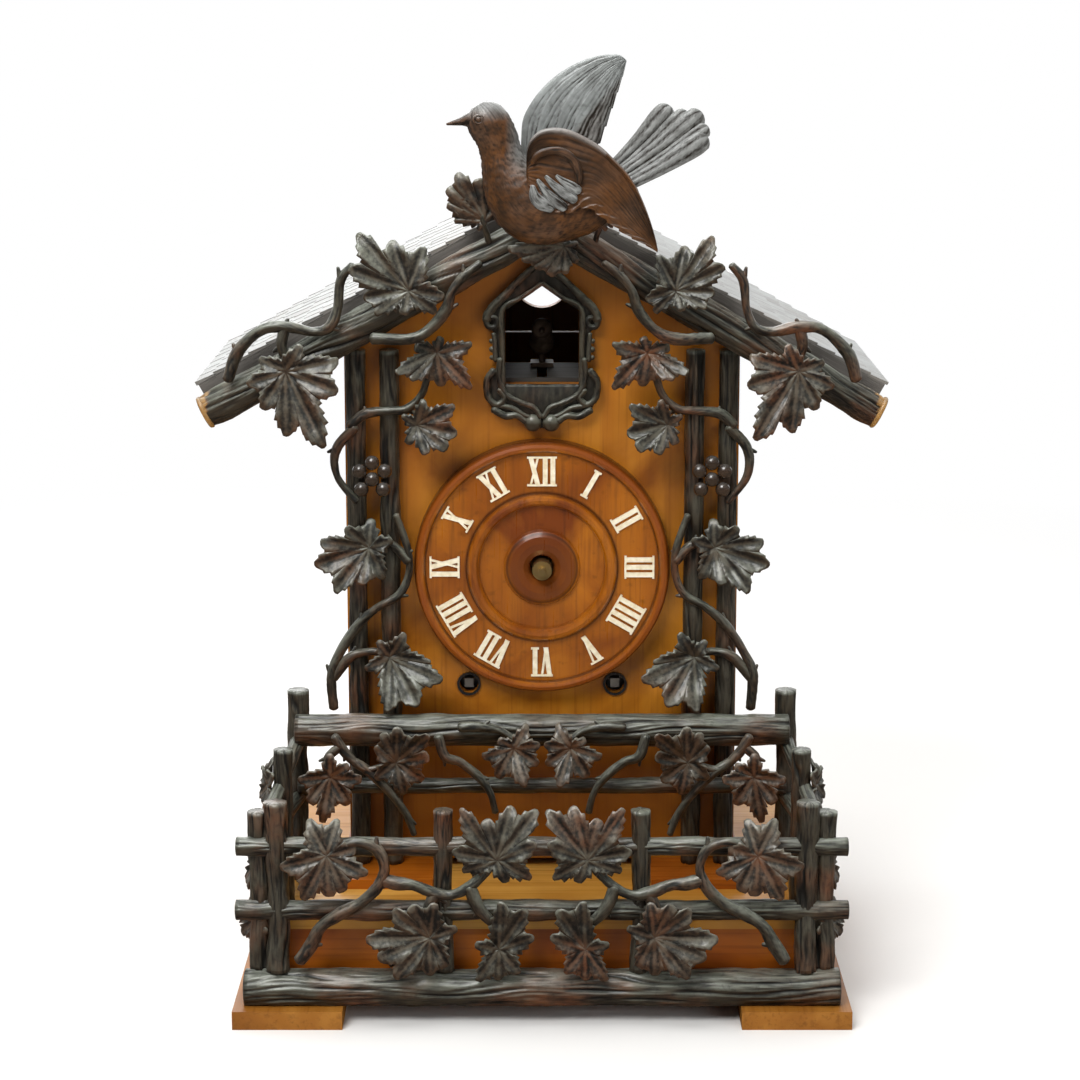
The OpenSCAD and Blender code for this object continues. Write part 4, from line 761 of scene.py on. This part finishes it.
caseLeafList = [
    {"at": (-62, 382), "plane": -43.9, "tone": 0.12,
     "lobes": ((21, 6, 0.12), (20.5, -21, 0.15), (3, -20, 0.05), (-15, -15, 0.5), (-24, -10, 0.45),
               (-13, 5, 0.1), (2, 10, 0.1))},
    {"at": (-74, 339), "plane": -43.9, "tone": 0.08,
     "lobes": ((22.5, 12.5, 0.15), (24, -5, 0.15), (18, -14, 0.3), (5, -17, 0.45), (-6, -11, 0.3),
               (-9, 6, 0.1), (4, 16, 0.2))},
    {"at": (-103, 265), "plane": -43.9, "tone": 0.05,
     "lobes": ((-29, 5, 0.18), (-32.5, -9, 0.25), (-20, -25, 0.42), (-4, -21, 0.5), (9, -19, 0.1),
               (14, 5, 0.1), (1, 17, -0.2), (-14, 13, 0.15))},
    {"at": (-91.5, 197.5), "plane": -43.9, "tone": 0.08,
     "lobes": ((9, 16, 0.2), (25, -2, 0.2), (32, -12, 0.3), (17, -27, 0.45), (-1.5, -31, 0.48),
               (-15, -6, 0.35), (-7, 11, 0.15))},
]
fenceLeafList = [
    {"at": (-124, 103.5), "plane": -138.6, "foremost": -145.8, "tone": 0.4,
     "lobes": ((6, 20, -0.3), (-11, 20, -0.3), (-27, -6, 0.1), (-14, -26, 0.12), (1, -24, 0.1),
               (10, -21, 0.12), (24, -10, 0.1), (17, 4, -0.1))},
    {"at": (-26, 101), "plane": -138.6, "foremost": -145.8, "tone": 0.1,
     "lobes": ((-21, 30, -0.1), (-6, 24, -0.1), (8, 31, -0.18), (23.5, 28.5, -0.15), (23, 11, 0.22),
               (20, -11, 0.08), (5, -14, 0.08), (-20, -7, 0.05), (-26, 5, 0.03))},
    {"at": (-65, 54), "plane": -138.6, "foremost": -145.8, "tone": 0.25,
     "lobes": ((3, 22, 0.12), (-10, 21, 0.12), (-21, 18, 0.1), (-37, 0, 0.04), (-30, -11, 0.2),
               (-20, -23, 0.24), (0, -23, 0.05), (10, -18, 0.05), (16, 6, 0.05))},
    {"at": (-25, 47), "plane": -138.6, "foremost": -145.8, "tone": 0.08,
     "lobes": ((1, 30, 0.1), (16, 25, 0.1), (20.5, 9, 0.22), (12, -14, 0.15), (0, -19, 0.05),
               (-13, -19, 0.08), (-14, 4, 0.24))},
    {"at": (-126.5, 130), "plane": -68.3, "tone": 0.8,
     "lobes": ((0, 15, 0.1), (-19, 1, 0.45), (-13, -14, 0.4), (-5, -28, 0.1), (11, -17, 0.1),
               (19, -1, 0.05), (11, 8, 0.05))},
    {"at": (-87, 139), "plane": -68.3, "tone": 0.3,
     "lobes": ((1, 23, 0.15), (-8, 19, 0.15), (20, 20, 0.4), (20, 6, 0.4), (16, -11, 0.15), (4, -20, 0.1),
               (-13, -10, 0.1), (-13, 10, 0.1))},
    {"at": (-17, 148), "plane": -68.3, "tone": 0.6,
     "lobes": ((-19, -5, 0.1), (-9, 6, 0.12), (8, 14, -0.2), (16, 2, 0.1), (15, -10, 0.1), (7, -22, 0.42),
               (-10, -18, 0.15))},
]
sideLeafList = [
    {"at": (-160.5, 129), "plane": -82, "swing": 1.25, "tone": 0.2,
     "lobes": ((13, 10, 0.1), (-2, 17, -0.2), (-15, 7, 0.1), (-12, -10, 0.3), (3, -15, 0.35),
               (14, -6, 0.1))},
    {"at": (-168, 88), "plane": -106, "swing": 1.3, "tone": 0.4,
     "lobes": ((12, 9, 0.1), (-2, 14, -0.2), (-14, 4, 0.1), (-9, -13, 0.3), (5, -14, 0.35),
               (13, -4, 0.1))},
    {"at": (-167, 57), "plane": -119, "swing": 0.9, "tone": 0.3, "foremost": -134,
     "lobes": ((12, 12, 0.1), (-4, 15, 0.05), (-15, 3, 0.2), (-10, -10, 0.3), (3, -13, 0.3),
               (13, -3, 0.1))},
]
highStalk = [(-35, -57.2, 464, 1.4), (-34, -56.6, 458, 1.7), (-32, -54.5, 452.5, 1.9),
             (-31, -49, 447, 2.0)]
for name, replaced, leaves in (
        ("roofLeaves", "roof_leaves", roofLeafList), ("caseLeaves", "case_leaves", caseLeafList),
        ("fenceLeaves", "fence_leaves", fenceLeafList + sideLeafList)):
    bm = newBody()
    for side in (-1, 1):
        for k, leaf in enumerate(leaves):
            carveLeaf(bm, leaf, side, 0.7 + k * 1.3 + side * 0.21)
        if name == "roofLeaves":  # the leaf behind the bird stands on its stalk
            growWood(bm, flip(highStalk, side), vineLook, 8.1 + side)
    if name == "roofLeaves":
        carveLeaf(bm, peakLeaf, -1, 9.3)
    finishBody(bm, name, carved, replaced)


# perched bird: body, tail and two wings

ballEnd = ((0.0, 1.0), (0.38, 0.93), (0.71, 0.71), (0.92, 0.38))
birdLook = {"sides": 64, "step": 1.3, "ribs": 3, "length": 20, "depth": 0.0, "swell": 0.02, "deep": 0.78,
            "ends": ballEnd}
beakLook = {"sides": 24, "step": 0.8, "ribs": 2, "length": 9, "depth": 0.04, "swell": 0.0,
            "ends": roundEnd}
lidLook = dict(beakLook, step=0.7, sides=12)
tailLook = dict(birdLook, sides=36, deep=0.5, ends=roundEnd)
bird = {
    "y": -73,
    "body": [(46, 482, 5), (38, 475, 9), (26, 469, 13.6), (8, 468, 18.8), (-6, 470, 20), (-15, 480, 18.4),
             (-20.5, 491, 14.4), (-23.4, 501, 11.9), (-25.8, 509, 11.8), (-28.8, 515, 12),
             (-30.6, 518.2, 11.9)],
    "beak": [(-36, 519.4, 6.4), (-41.5, 519.2, 4.4), (-45.5, 518.6, 2.6), (-50, 517.8, 1.6),
             (-54.2, 517, 0.7)],
    "feather": (3.6, 0.52),  # spacing of the cut feathers and their depth
    "tail": [((36, 489), (72, 526), 6.4, -71), ((40, 487), (82, 523.5), 5.4, -73.4),
             ((38, 484), (90, 523), 6.4, -74.6), ((42, 482), (94, 515.5), 5.0, -76),
             ((41, 479), (93, 509.5), 6.4, -77.2)],
    "tailFeather": ((0, 0.5), (0.25, 0.58), (0.55, 0.76), (0.85, 1.0), (0.97, 0.92)),  # along it, how wide
    "foot": [(0, -49, 455, 6.5), (1, -58, 457, 7), (2, -66, 459, 7.5), (3, -73, 462, 8)],
    "eye": (-36.0, 8.3, 520.2, 1.6), "lid": (2.8, 2.4, 0.6),  # the lid's reach and rise, and how thick
    "crown": 519, "nape": (-21, 8, 486), "paintedPale": 0.75,  # where the painted pale sheen of the head and nape begins, and how strong
}


def scaleCut(angle, along, q):
    spacing, depth = bird["feather"]
    here = Vector((math.cos(angle) * q[3] / 5, math.sin(angle) * q[3] / 5, along / 7))
    row = along / spacing + 1.3 * noise.noise(here)
    across = angle * q[3] / (0.8 * spacing) + (0.5 if int(row) % 2 else 0) + 0.8 * noise.noise(here * 1.7)
    u, v = across - math.floor(across) - 0.5, row - math.floor(row)
    edge = 0.5 + 1.4 * u * u  # a feather ends in a round edge
    d = v - edge if v > edge else v - edge + 1
    depth *= 0.75 + 1.2 * chance(math.floor(across) * 3.1, math.floor(row) * 1.7, 4)
    return depth * (1.2 - 1.6 * d), 0.72 - 0.35 * d + 0.5 * noise.noise(here * 3.1)


def featherRidge(angle, along, q):
    d = angle - math.pi / 2
    barb = 0.07 * math.sin(along * 2.6 + abs(d) * 11)
    quill, gutter = math.exp(-(d / 0.13) ** 2), math.exp(-((abs(d) - 0.5) / 0.22) ** 2)
    return 0.6 * quill - 0.45 * gutter + barb * (abs(d) < 1.2), 0.6 + 0.4 * quill - 0.4 * gutter + barb


# painted sheen: the crown and the nape, at the top of the head, are painted pale
def paintedPaleHead(co):
    start, end, low = bird["nape"]
    crown = clamp((co.z - bird["crown"]) / 7)
    nape = clamp((co.x - start) / 7) * clamp((co.z - low) / 14) if co.x < end else 0
    return bird["paintedPale"] * max(crown, nape)


bm = newBody()
growWood(bm, [(x, bird["y"], z, r) for x, z, r in bird["body"]], birdLook, 61, relief=scaleCut)
growWood(bm, [(x, bird["y"], z, r) for x, z, r in bird["beak"]], beakLook, 62)
growWood(bm, bird["foot"], beakLook, 63, facing=(0, 0, 1))
for (x0, z0), (x1, z1), r, y in bird["tail"]:
    knots = [(x0 + (x1 - x0) * t, y, z0 + (z1 - z0) * t - 1.5 * math.sin(math.pi * t), r * s)
             for t, s in bird["tailFeather"]]
    # the raised tail is painted pale grey: a painted sheen
    growWood(bm, knots, tailLook, z1, tone=0.85, relief=featherRidge)
x, aside, z, r = bird["eye"]
reach, rise, thick = bird["lid"]
for side in (-1, 1):  # an eye with its lid on each side of the head
    y = bird["y"] + side * aside
    addBead(bm, x, y, z, r, 0.9)
    lid = [(x + reach * math.cos(a), y + side * 0.1, z + rise * math.sin(a), thick)
           for a in (k * math.pi / 6 for k in range(13))]
    growWood(bm, lid, lidLook, 65)
toneLayer = bm.verts.layers.float["tone"]
for v in bm.verts:
    v[toneLayer] = max(v[toneLayer], paintedPaleHead(v.co))
finishBody(bm, "birdBody", birdWood, "bird_body")

nearWing = {
    "lead": [(-9, 493), (-8.6, 503), (-6.4, 509.5), (-0.8, 514.6), (7.3, 516), (15.8, 514.6),
             (24.3, 510.7), (32.7, 505.7), (39.5, 499.5), (46.9, 492), (52.6, 483.8), (56.9, 475.3),
             (61.3, 464), (64.6, 453), (66, 446)],
    "trail": [(-9, 488), (-6.8, 480.6), (-1.1, 471.8), (7.4, 467), (15.9, 467), (22.7, 470), (27.6, 469),
              (35.7, 462.9), (44.3, 457), (50, 453.6), (58.5, 449.6), (65.5, 445.6)],
    "y": -87.6, "bulge": -1.5, "thick": 5.4, "lanes": (1.6, 11.2), "smooth": 0.76, "step": 0.9,
    "rim": (3.0, 0.035), "tips": (11, 0.05), "lines": 78, "comb": 0.2, "score": 0.34, "paintedPale": (0.0, 0.5)}
farWing = {
    "lead": [(-10.6, 492), (-12, 500), (-12, 509), (-10.9, 519), (-6.4, 528), (-0.6, 535.6), (8, 543.6),
             (18.9, 550.2), (30, 554.4), (39.6, 555.6), (45, 555), (48.2, 552.4)],
    "trail": [(12, 487), (19.1, 492.6), (27.7, 498.3), (33, 504), (36.3, 512.6), (40.3, 524),
              (44.2, 536), (46.6, 544), (47.8, 549), (48.4, 551.6)],
    "y": -54.2, "bulge": 1.8, "thick": 2.6, "lanes": (4.2, 1.3), "smooth": 0.06, "step": 1.5,
    "rim": (0.4, 0.05), "tips": (8, 0.02), "lines": 110, "comb": 0.22, "score": 0.5, "paintedPale": (1.0, 0.0)}


def carveWing(bm, wing, seed):
    lead = smoothPath([(x, 0, z, 0) for x, z in wing["lead"]], 2.2)
    trail = smoothPath([(x, 0, z, 0) for x, z in wing["trail"]], 2.2)
    rows, half = 120, 72
    tipCount, tipCut = wing["tips"]
    rimHigh, rimWide = wing["rim"]
    acrossLanes, alongLanes = wing["lanes"]  # feathers from edge to edge and from shoulder to tip
    smooth = wing["smooth"]
    # painted sheen: the far wing is painted pale all over, the near wing along its upper rim
    paintedPale, paintedPaleRim = wing["paintedPale"]

    def along(path, s):
        k = s * (len(path) - 1)
        i = min(int(k), len(path) - 2)
        return path[i].lerp(path[i + 1], k - i)

    def at(i, j):
        s = j / rows
        front = i <= half
        w = i / half if front else (2 * half - i) / half
        ragged = 1 - tipCut * ((s * tipCount) % 1) * max(0, w - 0.7) / 0.3
        q = along(lead, s).lerp(along(trail, s), w * ragged)
        pinch = math.sin(math.pi * clamp(w)) ** 0.5
        flow = chance(s * 3, w * 2, seed)
        rim = math.exp(-((w - 0.04) / rimWide) ** 2)
        comb = math.sin(w * wing["lines"] + 5 * flow + s * 3) * (0.5 + chance(w * 14, s * 4, seed))
        h = wing["bulge"] * pinch * (1 - 0.45 * s)
        h += rimHigh * rim + wing["comb"] * comb * min(1, 6 * w)
        ridge = 0.56 + wing["score"] * comb + 0.35 * rim + 0.3 * flow
        if w > smooth:  # feathers that lie one over the other
            v = (w - smooth) / (1 - smooth) * acrossLanes + 0.5 * flow + alongLanes * s
            f = v - math.floor(v)
            over = (1 - f) ** 1.3 * min(1, 8 * f + 0.1) * min(1, (w - smooth) * 12)
            h += wing["step"] * over
            ridge += 0.45 * over - 0.3 * math.exp(-(f / 0.1) ** 2)
        grain = chance(w * 60, s * 9, seed)
        h += 0.12 * grain
        end = min(1, s * 14, (1 - s) * 14)
        y = wing["y"] - (h + 0.4) * end if front else wing["y"] + wing["thick"] * pinch * end * 0.5
        shade = chance(w * 3.1, s * 2.3, seed + 5) * 1.2 + 0.9 * (w - 0.5) - 0.7 * abs(s - 0.3)
        shade = paintedPale * clamp(2.4 * shade)
        tone = paintedPale - 0.3 * shade + paintedPaleRim * rim * (s < 0.5)
        ridge += 0.2 * grain - 0.45 * shade
        return Vector((q.x, y, q.z)), Vector((w * 34, h * 2, s * 80 + seed)), clamp(ridge), tone

    wrapGrid(bm, 2 * half, rows, at)


farShoulder = [(0, -68, 477, 7.5), (1, -61, 483, 9), (2.5, -55.4, 491, 9.5)]
patch = {  # pale feathers on the near wing, under their arc
    "y": (-88.4, -89.2),
    "arc": [(-5.6, 496, 1.2), (-3.2, 500, 1.8), (2, 502.4, 2.2), (8.5, 503, 2.4), (14, 501, 2.5),
            (18.2, 496.6, 2.5), (20.6, 490.6, 2.3), (21.2, 485, 1.8)],
    "feathers": [[(-5.4, 483, 1.4), (-4.2, 477.4, 3.2), (-0.4, 473.4, 3.8), (5.4, 470.4, 2.6)],
                 [(-2.6, 486.6, 1.1), (0.8, 481.6, 2.3), (5.6, 476.2, 3.1), (12.6, 471, 2.8)],
                 [(2.2, 488.6, 1.1), (6.4, 483.8, 2.2), (11.6, 479.6, 3.0), (18.4, 475.4, 2.8)],
                 [(8.2, 488.8, 1.1), (12.4, 485.6, 2.2), (17, 482.6, 3.0), (20.8, 480.4, 2.6)]],
}
bm = newBody()
carveWing(bm, nearWing, 71)
carveWing(bm, farWing, 72)
growWood(bm, farShoulder, dict(birdLook, sides=32), 73)
ridgeLook = dict(birdLook, sides=24, deep=0.5, depth=0.05, ends=roundEnd)
arcY, featherY = patch["y"]
growWood(bm, [(x, arcY, z, r) for x, z, r in patch["arc"]], ridgeLook, 74)
for k, feather in enumerate(patch["feathers"]):
    growWood(bm, [(x, featherY + 0.3 * k, z, r) for x, z, r in feather], ridgeLook, 75 + k, tone=0.85)
finishBody(bm, "birdWings", birdWood, "bird_wings")


# carved surround of the cuckoo opening

surround = {
    "back": -24.0, "plate": 5.0,
    "outline": [(0, -26), (7, -27), (12, -21.5), (18, -18.5), (24, -17.5), (30, -14), (32, -6), (31, 4),
                (28, 9), (27, 14), (28, 30), (31, 34), (32, 42), (26, 49), (16, 60), (8, 69), (0, 74)],
    "opening": [(0, 59), (22, 44.5), (22, 0), (0, 0)],
    "foot": 360.5,
    "mouldings": [
        ([(-23.4, -0.5), (-23.6, 22), (-23.4, 45), (-12, 52.6), (-0.2, 60.8)], 1.7, -30.4),
        ([(-33, 39), (-30, 46), (-21, 55), (-11, 65), (-0.2, 74)], 2.6, -30.6),
        ([(-28.5, 47.5), (-33.2, 42), (-32, 35.5), (-27.6, 35.6), (-27.2, 40), (-30, 41)], 2.1, -31.2),
        ([(-25, 16), (-25.4, 4), (-21.5, -5), (-13, -10), (-5, -13), (-0.8, -19)], 1.9, -31.4),
        ([(-28.5, 9), (-32.6, 3), (-32, -7), (-26.6, -11.4), (-22.4, -7.4), (-25.4, -2.4)], 2.3, -31),
        ([(-29, -14.5), (-22, -18.4), (-15, -18), (-9.6, -21.6)], 2.4, -30.6),
        ([(-25.6, -12), (-17.6, -13.6), (-11, -17.6), (-7, -19)], 1.6, -30.6),
        ([(-27.6, 15), (-28, 24), (-28.6, 31)], 1.6, -30.2),
    ],
    "edge": 1.1, "beadY": -29.6,
    "beads": [(-29.6, 21.5, 1.9), (-29.8, 16.6, 1.5), (-30, 26.4, 1.5), (-5.5, -22.6, 5.3),
              (-26, 38, 1.7)],
}
mouldLook = {"sides": 20, "step": 1.0, "ribs": 2, "length": 7, "depth": 0.12, "swell": 0.22,
             "ends": roundEnd}

bm = newBody()
place = bm.verts.layers.float_vector["woodPlace"]
loops = []
for table in (surround["outline"], surround["opening"]):
    ring = [(x, z) for x, z in table] + [(-x, z) for x, z in reversed(table) if x]
    if table is surround["outline"]:
        dense = smoothPath([(x, 0, z, 0) for x, z in ring + ring[:1]], 2.0)[:-1]
        ring = [(q.x, q.z) for q in dense]
    verts = [bm.verts.new((x, surround["back"], surround["foot"] + z)) for x, z in ring]
    edges = [bm.edges.new((a, b)) for a, b in zip(verts, verts[1:] + verts[:1])]
    loops.append(edges)
bmesh.ops.subdivide_edges(bm, edges=loops[1], cuts=9)
bmesh.ops.triangle_fill(bm, edges=bm.edges, use_beauty=True)
front = bmesh.ops.extrude_face_region(bm, geom=list(bm.faces))["geom"]
raised = [g for g in front if isinstance(g, bmesh.types.BMVert)]
bmesh.ops.translate(bm, vec=(0, -surround["plate"], 0), verts=raised)
rimEdges = [g for g in front if isinstance(g, bmesh.types.BMEdge)
            and any(abs(f.normal.y) < 0.5 for f in g.link_faces)]
bmesh.ops.bevel(bm, geom=rimEdges, offset=surround["edge"], segments=3, profile=0.5, affect="EDGES",
                material=-1)
ridgeLayer = bm.verts.layers.float["ridge"]
for v in bm.verts:
    v[place] = (v.co.x * 0.4, 3, v.co.z)
    v[ridgeLayer] = 0.3
for k, (line, r, y) in enumerate(surround["mouldings"]):
    for side in (-1, 1):
        n = len(line) - 1
        knots = [(x, y, surround["foot"] + z, r * (1.05 - 0.25 * i / n)) for i, (x, z) in enumerate(line)]
        growWood(bm, flip(knots, side), mouldLook, 80 + k)
for x, z, r in surround["beads"]:
    for side in (-1, 1):
        addBead(bm, side * x, surround["beadY"], surround["foot"] + z, r)
finishBody(bm, "cuckooSurround", carved, "cuckoo_frame")


# grape clusters

grapes = {"x": 101, "y": -42.9, "z": 308, "r": 4.5,
          "spots": [(0, 8), (-7.5, 3), (7.5, 3), (0, -2), (-6.5, -8), (6.5, -8)]}
bm = newBody()
for side in (-1, 1):
    for dx, dz in grapes["spots"]:
        addBead(bm, side * (grapes["x"] + dx), grapes["y"], grapes["z"] + dz, grapes["r"], 1.0)
finishBody(bm, "grapeClusters", grapeWood, "grape_clusters")


# camera, light and floor

view = {"place": (-1.2, -1701, 609.6), "tilt": 11.6, "lens": 94.5}
camera = bpy.data.objects.new("camera", bpy.data.cameras.new("camera"))
bpy.context.scene.collection.objects.link(camera)
camera.location = [c * mm for c in view["place"]]
camera.rotation_euler = (math.radians(90 - view["tilt"]), 0, 0)
camera.data.lens = view["lens"]
camera.data.sensor_width = 36
bpy.context.scene.camera = camera

lamps = {  # place, target, size, power, and whether the gloss shows it
    "key": ((-650, -1350, 1650), (0, 0, 250), 900, 34, False),
    "fill": ((1200, -1500, 320), (0, 0, 230), 1200, 13, False),
    "sky": ((-150, -60, 2000), (0, -40, 250), 1000, 20, True),
    "rim": ((-300, 1500, 1250), (0, 0, 300), 1200, 16, True),
    "softBox": ((-450, -1000, 1700), (0, -40, 250), 900, 26, True),
}
for name, (place, target, size, power, shiny) in lamps.items():
    lamp = bpy.data.objects.new(name, bpy.data.lights.new(name, "AREA"))
    bpy.context.scene.collection.objects.link(lamp)
    lamp.data.size = size * mm
    lamp.data.energy = power
    lamp.location = [c * mm for c in place]
    lamp.rotation_euler = ((Vector(target) - Vector(place)) * mm).to_track_quat("-Z", "Y").to_euler()
    lamp.visible_glossy = shiny  # the front lamps light the wood without a veil of gloss
    lamp.visible_diffuse = name != "softBox"  # and this one is only seen in the gloss
print("lamps:", len(lamps))

# a pale studio: bright above and behind the clock, dim before it, plain white where the camera looks
world = bpy.data.worlds.new("studio")
bpy.context.scene.world = world
world.use_nodes = True
tree = world.node_tree
background = tree.nodes["Background"]
direction = wire(tree, "SeparateXYZ", {0: wire(tree, "TexCoord").outputs["Generated"]})
high = ramp(tree, direction.outputs["Z"], -0.1, 0.9, 0.0, 0.62)
behind = ramp(tree, direction.outputs["Y"], -0.4, 0.6, 0.0, 0.9)
rays = wire(tree, "LightPath").outputs
glossy = ramp(tree, rays["Is Glossy Ray"], 0, 1, 0.55, 1)
soft = calc(tree, "MULTIPLY", calc(tree, "ADD", high, behind), glossy)
tree.links.new(calc(tree, "MAXIMUM", soft, rays["Is Camera Ray"]), background.inputs["Strength"])
background.inputs["Color"].default_value = (1, 1, 1, 1)

bm = bmesh.new()
bmesh.ops.create_grid(bm, x_segments=2, y_segments=2, size=12.0)
floorMesh = bpy.data.meshes.new("floor")
bm.to_mesh(floorMesh)
bm.free()
floor = bpy.data.objects.new("floor", floorMesh)
bpy.context.scene.collection.objects.link(floor)
floorPaint, tree, floorShader, spot = startMaterial("paleFloor", specular=0.2)
rays = wire(tree, "LightPath").outputs  # the gloss of the wood sees a dim table
table = blendColours(tree, rays["Is Glossy Ray"], (0.8, 0.79, 0.77), (0.1, 0.08, 0.06))
tree.links.new(table, floorShader.inputs["Base Color"])
floorShader.inputs["Roughness"].default_value = 0.7
away = wire(tree, "VectorMath", {0: spot}, operation="LENGTH").outputs["Value"]
fade = calc(tree, "MULTIPLY", ramp(tree, away, 0.45, 1.6), rays["Is Camera Ray"])
glow = wire(tree, "Emission", {"Color": (1, 1, 1, 1), "Strength": 1.0}).outputs[0]
mixed = wire(tree, "MixShader", {0: fade, 1: floorShader.outputs[0], 2: glow}).outputs[0]
tree.links.new(mixed, tree.nodes["Material Output"].inputs["Surface"])
floorMesh.materials.append(floorPaint)

bpy.context.scene.view_settings.view_transform = "Standard"
